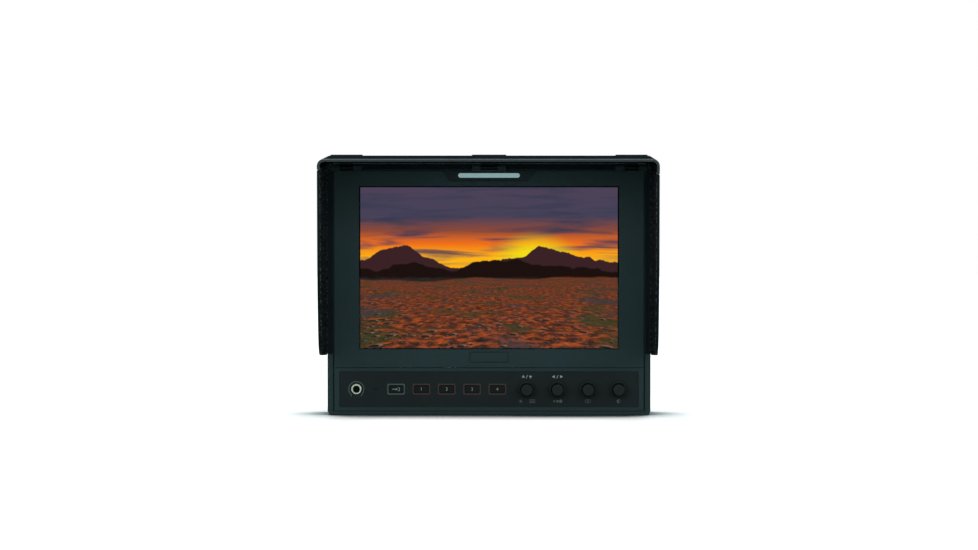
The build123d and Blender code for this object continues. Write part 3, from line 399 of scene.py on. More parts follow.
@dataclass(frozen=True)
class SocketShell(Worked):
    """Plated shell of a socket, with the black moulding of its contacts at the inner end.

    Attributes:
        insert: Colour of the moulding.
        insert_y_mm: Depth in front of which the piece is moulding.
    """

    insert: str = "#0A0B0B"
    insert_y_mm: float = -6.6

    def pattern(self, tree: bpy.types.NodeTree, shader: bpy.types.Node, place: Any) -> None:
        """Adds the tool lines, then the moulding, which isn't metal."""
        super().pattern(tree, shader, place)
        axes = add_node(tree, "ShaderNodeSeparateXYZ", links={"Vector": place})
        shell = add_node(tree, "ShaderNodeMath", {"operation": "GREATER_THAN"}, {1: self.insert_y_mm * MM},
                         {0: axes.outputs["Y"]}).outputs[0]
        tone = add_node(tree, "ShaderNodeMix", {"data_type": "RGBA"}, {
            6: linear(self.insert), 7: linear(self.colour)}, {0: shell})
        tree.links.new(tone.outputs[2], shader.inputs["Base Color"])
        tree.links.new(shell, shader.inputs["Metallic"])


@dataclass(frozen=True)
class Glass(Finish):
    """Clear float glass; what lies behind it shows through.

    Attributes:
        haze_mm: Width of a patch of polish haze.
    """

    haze_mm: float = 30.0

    def pattern(self, tree: bpy.types.NodeTree, shader: bpy.types.Node, place: Any) -> None:
        """Lets light through, with a faint polish haze in the roughness."""
        shader.inputs["Transmission Weight"].default_value = 1.0
        haze = add_node(tree, "ShaderNodeTexNoise", values={"Scale": per_mm(self.haze_mm)}, links={"Vector": place})
        gloss = add_node(tree, "ShaderNodeMapRange", values={
            "To Min": 0.0, "To Max": 2 * self.roughness}, links={"Value": haze.outputs["Fac"]})
        tree.links.new(gloss.outputs["Result"], shader.inputs["Roughness"])


@dataclass(frozen=True)
class StudioPaper(Finish):
    """White paper with a glow that only the camera sees, so that it stays clean up to a painted contact shadow.

    Attributes:
        shadow_mm: Reach of the painted contact shadow.
        dark_at: Openness of a spot, from 0 to 1, at which the glow is gone.
        bright_at: Openness from which the glow is full.
    """

    shadow_mm: float = 50.0
    dark_at: float = 0.6
    bright_at: float = 0.97

    def pattern(self, tree: bpy.types.NodeTree, shader: bpy.types.Node, place: Any) -> None:
        """Adds the glow that only the camera sees, which fades beside whatever stands on it into a painted contact
        shadow.
        """
        near = add_node(tree, "ShaderNodeAmbientOcclusion", {"samples": 8}, {"Distance": self.shadow_mm * MM})
        # Painted contact shadow: the glow fades where nearby things occlude the paper.
        fade = add_node(tree, "ShaderNodeMapRange", values={
            "From Min": self.dark_at, "From Max": self.bright_at, "To Max": self.glow},
            links={"Value": near.outputs["AO"]})
        seen = add_node(tree, "ShaderNodeMath", {"operation": "MULTIPLY"}, links={
            0: fade.outputs["Result"], 1: add_node(tree, "ShaderNodeLightPath").outputs["Is Camera Ray"]})
        shader.inputs["Emission Color"].default_value = WHITE
        tree.links.new(seen.outputs[0], shader.inputs["Emission Strength"])


@dataclass(frozen=True)
class DuskPicture(Finish):
    """Lit picture cell: a made-up evening landscape of rolling hills above an open plain.

    Attributes:
        width_mm: Width of the lit area.
        height_mm: Its height.
        centre_z_mm: Height of its centre above the base.
        horizon: Where the land meets the sky, as a share of the height.
        sun_u: Where the sun has set, as a share of the width.
        face_y_mm: Depth of the cell's front, the only face that shines.
        skin_mm: How near to that depth a spot has to lie.
        sky: Colours of the sky, each with its height above the horizon.
        zenith: Colour at the top edge.
        cloud: Colour of the clouds.
        sun: Colour of the glow where the sun has set.
        ridges: Two ridge lines: depth below the horizon, rise, swells, seed and colour.
        plain_edge: The plain's own edge, in the same way but without a colour.
        soil: Colours of the soil, from its pits to its crests.
        growths: Patches of growth: scale, where they start and are full, and colour.
        stones: Stones, each kind with its light side first: scale, shift and colour.
    """

    width_mm: float = 150.8
    height_mm: float = 94.2
    centre_z_mm: float = 86.5
    horizon: float = 0.56
    sun_u: float = 0.68
    face_y_mm: float = -13.0
    skin_mm: float = 0.1
    sky: tuple[tuple[float, str], ...] = ((0.0, "#FFB417"), (0.09, "#F0701A"), (0.17, "#8C4A38"), (0.26, "#474259"))
    zenith: str = "#4E4358"
    cloud: str = "#343A50"
    sun: str = "#F6E312"
    ridges: tuple[tuple[float, float, float, float, str], ...] = (
        (0.06, 0.12, 3.2, 4.1, "#3A2226"), (0.14, 0.17, 2.1, 9.6, "#1C110E"))
    plain_edge: tuple[float, float, float, float] = (0.15, 0.05, 1.4, 2.3)
    soil: tuple[tuple[float, str], ...] = ((0.36, "#1B100C"), (0.47, "#4A1F0C"), (0.55, "#8A3A0C"), (0.68, "#B65212"))
    growths: tuple[tuple[float, float, float, str], ...] = (
        (1.1, 0.52, 0.6, "#2F3410"), (0.7, 0.55, 0.63, "#3A3032"))
    stones: tuple[tuple[float, float, str], ...] = (
        (9.0, -0.02, "#7A5A48"), (9.0, 0.0, "#15100F"), (21.0, -0.01, "#6A4A3A"), (21.0, 0.0, "#1A1211"))

    def ridge(self, tree: bpy.types.NodeTree, across: Any, height: Any, base: float, rise: float,
              wander: float, seed: float) -> Any:
        """Masks the land below one ridge line.

        Args:
            tree: Node tree of the material.
            across: Socket that runs from 0 to 1 across the picture.
            height: Socket that runs from 0 to 1 up the picture.
            base: Lowest height of the ridge line.
            rise: How far the line rises above it.
            wander: Number of swells across the picture.
            seed: Shifts the swells.

        Returns:
            Socket that is 1 on the land and 0 above it.
        """
        swell = add_node(tree, "ShaderNodeTexNoise", {"noise_dimensions": "1D"}, {
            "Scale": wander, "Detail": 7.0, "Roughness": 0.5},
            {"W": add_node(tree, "ShaderNodeMath", {"operation": "ADD"}, {1: seed}, {0: across}).outputs[0]})
        line = add_node(tree, "ShaderNodeMapRange", {"clamp": False}, {
            "From Min": 0.3, "From Max": 0.7, "To Min": base, "To Max": base + rise},
            {"Value": swell.outputs["Fac"]})
        gap = add_node(tree, "ShaderNodeMath", {"operation": "SUBTRACT"}, links={
            0: line.outputs["Result"], 1: height})
        return add_node(tree, "ShaderNodeMapRange", values={"From Min": 0.0, "From Max": 0.006},
                        links={"Value": gap.outputs[0]}).outputs["Result"]

    def layer(self, tree: bpy.types.NodeTree, below: Any, above: Any, mask: Any) -> Any:
        """Lays one colour over another.

        Args:
            tree: Node tree of the material.
            below: Colour socket underneath.
            above: Colour socket on top, or a hex colour.
            mask: Socket that is 1 where the top colour shows.

        Returns:
            The blended colour socket.
        """
        mix = add_node(tree, "ShaderNodeMix", {"data_type": "RGBA"}, links={0: mask, 6: below})
        if isinstance(above, str):
            mix.inputs[7].default_value = linear(above)
        else:
            tree.links.new(above, mix.inputs[7])
        return mix.outputs[2]

    def stony_plain(self, tree: bpy.types.NodeTree, across: Any, height: Any) -> Any:
        """Draws bare soil with moss and scattered stones, smaller towards the horizon.

        Args:
            tree: Node tree of the material.
            across: Socket that runs from 0 to 1 across the picture.
            height: Socket that runs from 0 to 1 up the picture.

        Returns:
            Colour socket of the plain.
        """
        near = add_node(tree, "ShaderNodeMath", {"operation": "SUBTRACT"}, {0: self.horizon - 0.05}, {1: height})
        near = add_node(tree, "ShaderNodeMath", {"operation": "MAXIMUM"}, {1: 0.03}, {0: near.outputs[0]})
        far = add_node(tree, "ShaderNodeMath", {"operation": "DIVIDE"}, {0: 1.0}, {1: near.outputs[0]}).outputs[0]
        middle = add_node(tree, "ShaderNodeMath", {"operation": "SUBTRACT"}, {1: 0.5}, {0: across})
        side = add_node(tree, "ShaderNodeMath", {"operation": "MULTIPLY"}, links={0: middle.outputs[0], 1: far})
        spot = add_node(tree, "ShaderNodeCombineXYZ", links={"X": side.outputs[0], "Y": far}).outputs["Vector"]
        grain = add_node(tree, "ShaderNodeTexNoise", values={"Scale": 9.0, "Detail": 9.0, "Roughness": 0.65},
                         links={"Vector": spot})
        plain = add_node(tree, "ShaderNodeValToRGB", links={"Fac": grain.outputs["Fac"]})
        set_ramp(plain, list(self.soil))
        plain = plain.outputs["Color"]
        for scale, low, high, colour in self.growths:
            growth = add_node(tree, "ShaderNodeTexNoise", values={"Scale": scale, "Detail": 8.0},
                              links={"Vector": spot})
            patch = add_node(tree, "ShaderNodeMapRange", values={"From Min": low, "From Max": high, "To Max": 0.85},
                             links={"Value": growth.outputs["Fac"]})
            plain = self.layer(tree, plain, colour, patch.outputs["Result"])
        for scale, lift, colour in self.stones:
            moved = add_node(tree, "ShaderNodeMapping", values={"Location": (lift, lift, 0.0)}, links={"Vector": spot})
            cells = add_node(tree, "ShaderNodeTexVoronoi", values={"Scale": scale},
                             links={"Vector": moved.outputs["Vector"]})
            chance = add_node(tree, "ShaderNodeSeparateColor", links={"Color": cells.outputs["Color"]}).outputs["Red"]
            reach = add_node(tree, "ShaderNodeMapRange", values={
                "From Min": 0.45, "From Max": 1.0, "To Max": 0.42}, links={"Value": chance})
            inside = add_node(tree, "ShaderNodeMath", {"operation": "LESS_THAN"}, links={
                0: cells.outputs["Distance"], 1: reach.outputs["Result"]})
            plain = self.layer(tree, plain, colour, inside.outputs[0])
        return plain

    def pattern(self, tree: bpy.types.NodeTree, shader: bpy.types.Node, place: Any) -> None:
        """Draws the landscape as light from the cell, and black past the lit area."""
        axes = add_node(tree, "ShaderNodeSeparateXYZ", links={"Vector": place})
        half_w, half_h, mid = self.width_mm / 2 * MM, self.height_mm / 2 * MM, self.centre_z_mm * MM
        across = add_node(tree, "ShaderNodeMapRange", {"clamp": False}, {
            "From Min": -half_w, "From Max": half_w}, {"Value": axes.outputs["X"]}).outputs["Result"]
        height = add_node(tree, "ShaderNodeMapRange", {"clamp": False}, {
            "From Min": mid - half_h, "From Max": mid + half_h}, {"Value": axes.outputs["Z"]}).outputs["Result"]
        flat = add_node(tree, "ShaderNodeCombineXYZ", links={"X": across, "Y": height}).outputs["Vector"]

        sky = add_node(tree, "ShaderNodeValToRGB", links={"Fac": height})
        set_ramp(sky, [(self.horizon + rise, colour) for rise, colour in self.sky] + [(1.0, self.zenith)])
        drawn_out = add_node(tree, "ShaderNodeMapping", values={"Scale": (2.4, 15.0, 1.0)}, links={"Vector": flat})
        cloud = add_node(tree, "ShaderNodeTexNoise", values={"Scale": 1.3, "Detail": 8.0, "Distortion": 0.5},
                         links={"Vector": drawn_out.outputs["Vector"]})
        bank = add_node(tree, "ShaderNodeMapRange", values={"From Min": 0.47, "From Max": 0.66, "To Max": 0.85},
                        links={"Value": cloud.outputs["Fac"]})
        view = self.layer(tree, sky.outputs["Color"], self.cloud, bank.outputs["Result"])
        reach = add_node(tree, "ShaderNodeVectorMath", {"operation": "DISTANCE"}, {
            1: (self.sun_u, self.horizon - 0.02, 0.0)}, {0: flat})
        glow = add_node(tree, "ShaderNodeMapRange", {"interpolation_type": "SMOOTHSTEP"}, {
            "From Min": 0.03, "From Max": 0.2, "To Min": 1.0, "To Max": 0.0}, {"Value": reach.outputs["Value"]})
        view = self.layer(tree, view, self.sun, glow.outputs["Result"])
        for drop, rise, wander, seed, colour in self.ridges:
            view = self.layer(tree, view, colour,
                              self.ridge(tree, across, height, self.horizon - drop, rise, wander, seed))

        plain = self.stony_plain(tree, across, height)
        drop, *swells = self.plain_edge
        view = self.layer(tree, view, plain, self.ridge(tree, across, height, self.horizon - drop, *swells))

        lit = None
        for axis, middle, slack in ((across, 0.5, 0.5), (height, 0.5, 0.5),
                                    (axes.outputs["Y"], self.face_y_mm * MM, self.skin_mm * MM)):
            within = add_node(tree, "ShaderNodeMath", {"operation": "COMPARE"}, {1: middle, 2: slack}, {0: axis})
            lit = within.outputs[0] if lit is None else add_node(
                tree, "ShaderNodeMath", {"operation": "MULTIPLY"}, links={0: lit, 1: within.outputs[0]}).outputs[0]
        shown = add_node(tree, "ShaderNodeMix", {"data_type": "RGBA"}, {6: BLACK}, {0: lit, 7: view})
        tree.links.new(shown.outputs[2], shader.inputs["Emission Color"])
        shader.inputs["Emission Strength"].default_value = 1.0


# Powder-coated aluminium: a fine, dry, slightly green black.
POWDER_COAT = Moulded("powder_coated_aluminium", "#2D4040", 0.6, ior=1.4, shade="#263636", grit_mm=0.5)
# Moulded ABS of the bezel: smoother than the coat, a shade greyer, and painted darker in its recesses as painted shade.
BEZEL_ABS = TwoShot("moulded_abs_satin", "#2F4446", 0.6, ior=1.4, shade="#293C3E", grit_depth_mm=0.012,
                    field_colour="#222F31")
# Moulded ABS of the control strip: as the bezel outside, a touch drier than the bezel, and painted darker down in its
# field as painted shade.
PANEL_ABS = TwoShot("moulded_abs_matt", "#314446", 0.62, ior=1.4, shade="#2B3D3F", grit_depth_mm=0.012,
                    field_colour="#191F1F")
# Polypropylene sheet of the hood: near black and satin, so that it takes little light from any side.
HOOD_SHEET = Moulded("moulded_polypropylene", "#0E1214", 0.34, ior=1.25, shade="#0C0F11", grit_depth_mm=0.001,
                     polish=0.03)
# The same sheet on the cover, whose rolled front edge is burnished and catches the light.
ROLLED_SHEET = RolledSheet("rolled_polypropylene", "#0E1214", 0.28, ior=1.25, shade="#0C0F11", grit_depth_mm=0.001)
# Leathercloth that lines the wings and keeps light off the screen, in a copy painted paler to stand in for the light
# that the wings catch.
LIT_LEATHERCLOTH = Grained("leathercloth", "#4C5558", 0.85, ior=1.1, crease="#15191B", run=4.0)
# The same cloth under the cover, where its grain lies flat, in a copy painted darker to stand in for the shade under
# the cover.
SHADED_ROOF_CLOTH = Grained("leathercloth_roof_shaded", "#0D1011", 0.9, ior=1.05)
# Opal polycarbonate of the tally bar, pale and milky, with a little light behind it.
OPAL = Moulded("opal_polycarbonate", "#BFE0E1", 0.35, glow=0.3, shade="#B6D8DA", grit_depth_mm=0.004)
# Float glass over the screen: clear, with a faint haze in its polish.
SCREEN_GLASS = Glass("float_glass", "#FFFFFF", 0.01)
# Liquid crystal cell: black where it is off, and as bright as its picture where it is lit.
PICTURE = DuskPicture("lit_picture_cell", "#000000", 0.5)
# Diffuser film of the backlight: an even, chalky white.
DIFFUSER = Moulded("diffuser_film", "#C8C8C4", 0.6, shade="#BEBEBA")
# Solder mask on a circuit board: a green lacquer with some shine.
BOARD = Moulded("solder_mask", "#1E4A2C", 0.4, shade="#183E25")
# Nickel plate on turned brass: a warm silver.
NICKEL = Worked("nickel_plate", "#D2C9B4", 0.25, metallic=1.0)
# The same plate on a drawn socket shell, closed with black moulding at its inner end.
SOCKET_SHELL = SocketShell("nickel_socket_shell", "#D2C9B4", 0.25, metallic=1.0)
# Ground steel of the shafts: a cool grey with fine lines.
STEEL = Worked("ground_steel", "#A9ABAD", 0.3, metallic=1.0)
# Black oxide on steel: nearly black, with the shine of metal.
BLACK_OXIDE = Worked("black_oxide_steel", "#26272A", 0.4, metallic=1.0)
# Turned brass of the threaded inserts.
BRASS = Worked("turned_brass", "#C6A052", 0.28, metallic=1.0)
# Glass-filled nylon of the sockets and switches: black and dry.
SOCKET_PLASTIC = Moulded("glass_filled_nylon", "#161819", 0.55, shade="#111313")
# Silicone rubber of the keys: black, with almost no shine.
KEY_RUBBER = Moulded("silicone_rubber_key", "#0B0F10", 0.6, ior=1.35, shade="#090C0D", grit_depth_mm=0.008)
# Soft-touch lacquer on the knobs: black, with a broad soft highlight.
KNOB_RUBBER = Moulded("soft_touch_knob", "#0D1214", 0.4, ior=1.34, shade="#0B1011", grit_depth_mm=0.01)
# Infrared acrylic of the sensor's window: black with a hint of red.
SENSOR_PLASTIC = Moulded("infrared_acrylic", "#0A0708", 0.45, ior=1.3, shade="#080506", grit_depth_mm=0.002)
# Moulded rings round the keys, grey for the input key and dull red for the others.
RING_GREY = Moulded("moulded_ring_grey", "#5E6E69", 0.5, shade="#55645F", grit_depth_mm=0.006)
RING_RED = Moulded("moulded_ring_red", "#5A2C22", 0.5, shade="#50271E", grit_depth_mm=0.006)
# Screen-printed ink: a flat film, pale above the knobs, cream on the keys and grey elsewhere.
INK_PALE = Moulded("screen_print_pale", "#C9DCD0", 0.6, shade="#BCCFC3", grit_depth_mm=0.003)
INK_KEY = Moulded("screen_print_cream", "#C8C6B4", 0.6, shade="#BBB9A7", grit_depth_mm=0.003)
INK_GREY = Moulded("screen_print_grey", "#6F807A", 0.6, shade="#667670", grit_depth_mm=0.003)
INK_DIM = Moulded("screen_print_dim", "#6A776E", 0.6, shade="#616D65", grit_depth_mm=0.003)
# Wool felt: it takes nearly all light, and keeps it from passing beside the hood. Its strips on the frame's face are
# dark sheets that stand in for the hood's shade.
FELT = Moulded("black_wool_felt", "#242A2D", 0.9, ior=1.1, shade="#1F2528", grit_mm=0.35, grit_depth_mm=0.1)
# Matt studio paper with a glow that only the camera sees: clean white up to a painted contact shadow.
STUDIO_PAPER = StudioPaper("studio_paper", "#8A8C8C", 0.9, glow=1.0)


def dress(frame: dict[str, Any], finish: Finish, *names: str) -> None:
    """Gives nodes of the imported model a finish.

    Args:
        finish: Finish to use.
        names: Nodes to dress.
    """
    for name in names:
        for place in frame["nodes"][name].material_slots:
            place.material = finish.material()
    LOG.info("dressed %s in %s", ", ".join(names), finish.name)


# ---- Printed marks ---------------------------------------------------------------------------
class Stencil:
    """Flat shapes on an upright face, gathered into one thin printed piece."""

    arc_steps: int = 48

    def __init__(self, face_y: float) -> None:
        """Starts an empty stencil.

        Args:
            face_y: Depth of the printed face, in millimetres.
        """
        self.face_y = face_y
        self.mesh = bmesh.new()

    def place(self, x: float, z: float, turn: float = 0.0) -> Matrix:
        """Matrix that stands a flat shape on the face, turned about its own middle in degrees."""
        return (Matrix.Translation(Vector((x, self.face_y, z)) * MM)
                @ Matrix.Rotation(math.pi / 2, 4, "X") @ Matrix.Rotation(math.radians(turn), 4, "Z"))

    def polygon(self, x: float, z: float, radius: float, sides: int = 32, turn: float = 0.0) -> None:
        """Adds a filled disc, or a polygon with few sides."""
        bmesh.ops.create_circle(self.mesh, cap_ends=True, segments=sides, radius=radius * MM,
                                matrix=self.place(x, z, turn))

    def bar(self, x: float, z: float, width: float, height: float, turn: float = 0.0) -> None:
        """Adds a filled bar."""
        size = Matrix.Diagonal((width * MM, height * MM, 1.0, 1.0))
        bmesh.ops.create_grid(self.mesh, x_segments=1, y_segments=1, size=0.5, matrix=self.place(x, z, turn) @ size)

    def arc(self, x: float, z: float, radius: float, width: float, start: float, sweep: float) -> None:
        """Adds a curved stroke.

        Args:
            x: Centre across the width, in millimetres.
            z: Centre above the base, in millimetres.
            radius: Radius of the stroke's middle line.
            width: Width of the stroke.
            start: Where it starts, in degrees from the viewer's right, anticlockwise.
            sweep: How far it runs, in degrees.
        """
        stand = self.place(x, z, start)
        ends = [self.mesh.verts.new(stand @ Vector(((radius + side * width / 2) * MM, 0, 0))) for side in (-1, 1)]
        edge = self.mesh.edges.new(ends)
        bmesh.ops.spin(self.mesh, geom=[*ends, edge], cent=Vector((x, self.face_y, z)) * MM, axis=(0, -1, 0),
                       angle=math.radians(sweep), steps=self.arc_steps, use_merge=sweep >= 360)

    def piece(self, name: str, finish: Finish, body: Body) -> bpy.types.Object:
        """Gives the shapes their thickness and makes the piece.

        Args:
            name: Name of the piece.
            finish: Ink.
            body: Body that the print is on.

        Returns:
            The finished piece.
        """
        bmesh.ops.remove_doubles(self.mesh, verts=self.mesh.verts, dist=MERGE_GAP)
        bmesh.ops.recalc_face_normals(self.mesh, faces=self.mesh.faces)
        thicken(self.mesh, list(self.mesh.faces), Vector((0, -INK_T * MM, 0)))
        return seat(name, to_data(name, self.mesh), finish, body)


def seat(name: str, data: bpy.types.Mesh, finish: Finish, body: Body) -> bpy.types.Object:
    """Makes a piece of a finished mesh.

    Args:
        name: Name of the piece.
        data: Its mesh, already in place.
        finish: Its finish.
        body: Body that it rides on.

    Returns:
        The piece, at the origin.
    """
    data.materials.clear()
    data.materials.append(finish.material())
    made = bpy.data.objects.new(name, data)
    bpy.context.scene.collection.objects.link(made)
    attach(made, body.value)
    LOG.info("made %s on %s, %d faces", name, body.value, len(data.polygons))
    return made


def numeral(text: str, x: float, z: float, height: float, face_y: float, name: str, finish: Finish,
            body: Body) -> bpy.types.Object:
    """Prints one plain numeral.

    Args:
        text: The numeral.
        x: Its middle across the width, in millimetres.
        z: Its middle above the base.
        height: Height of the numeral.
        face_y: Depth of the printed face.
        name: Name of the piece.
        finish: Ink.
        body: Body that it rides on.

    Returns:
        The finished piece.
    """
    curve = bpy.data.curves.new(name, "FONT")
    curve.body, curve.size, curve.extrude = text, height * MM / CAP_SHARE, INK_T / 2 * MM
    curve.align_x, curve.align_y = "CENTER", "CENTER"
    holder = bpy.data.objects.new(name + "_curve", curve)
    bpy.context.scene.collection.objects.link(holder)
    bpy.context.view_layer.update()
    data = bpy.data.meshes.new_from_object(holder)
    bpy.data.objects.remove(holder)
    data.transform(Matrix.Translation(Vector((x, face_y - INK_T / 2, z)) * MM) @ Matrix.Rotation(math.pi / 2, 4, "X"))
    return seat(name, data, finish, body)


# ---- Sub-assemblies --------------------------------------------------------------------------
@dataclass
class Housing:
    """Rear housing and front frame, with what screws into them."""

    shells: tuple[str, ...] = ("rear_housing", "front_frame")
    inserts: tuple[str, ...] = ("tripod_insert", "mount_inserts")
    boards: tuple[str, ...] = ("main_board", "control_board", "tally_board")

    def build(self, frame: dict[str, Any]) -> None:
        """Dresses the housing's pieces."""
        dress(frame, POWDER_COAT, *self.shells)
        dress(frame, BRASS, *self.inserts)
        dress(frame, BLACK_OXIDE, "case_screws")
        dress(frame, BOARD, *self.boards)


@dataclass
class Screen:
    """Bezel, glass, lit picture, tally bar and catch."""

    def build(self, frame: dict[str, Any]) -> None:
        """Dresses the screen's pieces."""
        dress(frame, BEZEL_ABS, "bezel", "catch_insert")
        dress(frame, SCREEN_GLASS, "cover_glass")
        dress(frame, PICTURE, "picture_cell")
        dress(frame, DIFFUSER, "backlight")
        dress(frame, OPAL, "tally_lens")
        dress(frame, STEEL, "catch_magnet")


@dataclass
class ControlStrip:
    """Jack, keys and knobs below the screen, with their printed marks.

    Sizes in millimetres and degrees. A mark's own numbers are its offsets from its middle, then its
    width and height.
    """

    floor_y: float = -14.7
    key_face_y: float = -15.5
    row_z: float = 15.25
    jack_x: float = -77.8
    key_first_x: float = -54.5
    key_pitch: float = 14.85
    knob_first_x: float = 22.2
    knob_pitch: float = 17.95
    arrow_z: float = 22.6
    legend_z: float = 8.2
    arc_r: float = 4.45
    arc_ends: float = 50
    arc_foot: tuple[float, float, float] = (0.15, -0.35, 0.9)
    stroke: float = 0.4
    arrow_apart: float = 2.1
    arrow_r: float = 1.05
    slash: tuple[float, float, float] = (0.3, 2.2, -25)
    legend_left: float = -3.6
    legend_right: float = 3.2
    sun_r: float = 0.6
    rays: int = 8
    ray: tuple[float, float, float] = (1.15, 0.5, 0.2)
    lines: tuple[float, ...] = (-0.8, 0.0, 0.8)
    line_size: tuple[float, float] = (3.4, 0.32)
    dots: tuple[tuple[float, float], ...] = ((-1.9, 0.55), (0.0, 0.75), (1.9, 0.95))
    link_apart: float = 0.65
    link: tuple[float, float] = (0.95, 0.25)
    disc: tuple[float, float] = (1.0, 0.25)
    half_disc: tuple[float, float] = (0.5, 0.75)
    shaft: tuple[float, float, float] = (-1.2, 2.2, 0.35)
    head: tuple[float, float] = (0.3, 0.75)
    bracket: tuple[float, float, float] = (2.0, 0.35, 2.0)
    bracket_arm: tuple[float, float, float, float] = (1.5, 0.85, 1.0, 0.3)
    numeral_h: float = 1.9
    keys: tuple[Body, ...] = (Body.FUNCTION_KEY_1, Body.FUNCTION_KEY_2, Body.FUNCTION_KEY_3, Body.FUNCTION_KEY_4)

    def dress_pieces(self, frame: dict[str, Any]) -> None:
        """Dresses the solids of the strip."""
        dress(frame, PANEL_ABS, "control_panel")
        dress(frame, NICKEL, "jack_ring")
        dress(frame, SOCKET_PLASTIC, "headphone_jack", "key_switches", "encoders")
        dress(frame, SENSOR_PLASTIC, "sensor_window")
        dress(frame, RING_GREY, "input_key_ring")
        dress(frame, RING_RED, "function_key_rings")
        dress(frame, KEY_RUBBER, Body.INPUT_KEY.value, *(key.value for key in self.keys))
        for number in range(1, 5):
            dress(frame, KNOB_RUBBER, f"knob_{number}")
            dress(frame, STEEL, f"knob_shaft_{number}")
        dress(frame, STEEL, "push_plunger")

    def print_jack_arc(self) -> None:
        """Prints the arc round the jack, open below, with a short foot at each end."""
        ink = Stencil(self.floor_y)
        ink.arc(self.jack_x, self.row_z, self.arc_r, self.stroke, -self.arc_ends, 180 + 2 * self.arc_ends)
        out, down, length = self.arc_foot
        for side in (-1, 1):
            foot_x = self.jack_x + side * self.arc_r * math.cos(math.radians(self.arc_ends))
            foot_z = self.row_z - self.arc_r * math.sin(math.radians(self.arc_ends))
            ink.bar(foot_x + side * out, foot_z + down, self.stroke, length)
        ink.piece("jack_arc_print", INK_GREY, Body.MONITOR)

    def print_arrows(self) -> None:
        """Prints an up and down pair above the first knob, and a left and right pair above the second."""
        ink = Stencil(self.floor_y)
        for knob, turns in ((0, (0, 180)), (1, (90, -90))):
            middle = self.knob_first_x + knob * self.knob_pitch
            for side, turn in zip((-1, 1), turns):
                ink.polygon(middle + side * self.arrow_apart, self.arrow_z, self.arrow_r, 3, turn)
            ink.bar(middle, self.arrow_z, *self.slash)
        ink.piece("knob_arrow_print", INK_PALE, Body.MONITOR)

    def print_legends(self) -> None:
        """Prints a plain pictogram below each knob: a sun and bars, and three kinds of disc."""
        ink = Stencil(self.floor_y)
        x, z = self.knob_first_x, self.legend_z
        ink.polygon(x + self.legend_left, z, self.sun_r)
        away, length, width = self.ray
        for step in range(self.rays):
            turn = 360 / self.rays * step
            angle = math.radians(turn)
            ink.bar(x + self.legend_left + away * math.cos(angle), z + away * math.sin(angle), length, width, turn)
        for level in self.lines:
            ink.bar(x + self.legend_right, z + level, *self.line_size)
        x += self.knob_pitch
        for offset, radius in self.dots:
            ink.polygon(x + offset, z, radius)
        x += self.knob_pitch
        for side in (-1, 1):
            ink.arc(x + side * self.link_apart, z, *self.link, 0, 360)
        x += self.knob_pitch
        ink.arc(x, z, *self.disc, 0, 360)
        ink.arc(x, z, *self.half_disc, 90, 180)
        ink.piece("knob_legend_print", INK_DIM, Body.MONITOR)

    def print_keys(self) -> None:
        """Prints an arrow into a bracket on the input key, and numerals on the others."""
        ink = Stencil(self.key_face_y)
        x, z = self.key_first_x, self.row_z
        back, *shaft_size = self.shaft
        ink.bar(x + back, z, *shaft_size)
        forward, head_r = self.head
        ink.polygon(x + forward, z, head_r, 3, -90)
        far, *bracket_size = self.bracket
        ink.bar(x + far, z, *bracket_size)
        arm_x, arm_z, *arm_size = self.bracket_arm
        for side in (-1, 1):
            ink.bar(x + arm_x, z + side * arm_z, *arm_size)
        ink.piece("input_key_print", INK_KEY, Body.INPUT_KEY)
        for number, body in enumerate(self.keys, start=1):
            numeral(str(number), self.key_first_x + number * self.key_pitch, z, self.numeral_h, self.key_face_y,
                    f"function_key_{number}_print", INK_KEY, body)

    def build(self, frame: dict[str, Any]) -> None:
        """Dresses the strip and prints its marks."""
        self.dress_pieces(frame)
        self.print_jack_arc()
        self.print_arrows()
        self.print_legends()
        self.print_keys()


@dataclass
class Connectors:
    """Sockets in the bay at the back."""

    def build(self, frame: dict[str, Any]) -> None:
        """Dresses the sockets."""
        dress(frame, NICKEL, "bnc_sockets")
        dress(frame, SOCKET_SHELL, "hdmi_socket")
        dress(frame, SOCKET_PLASTIC, "dc_socket")


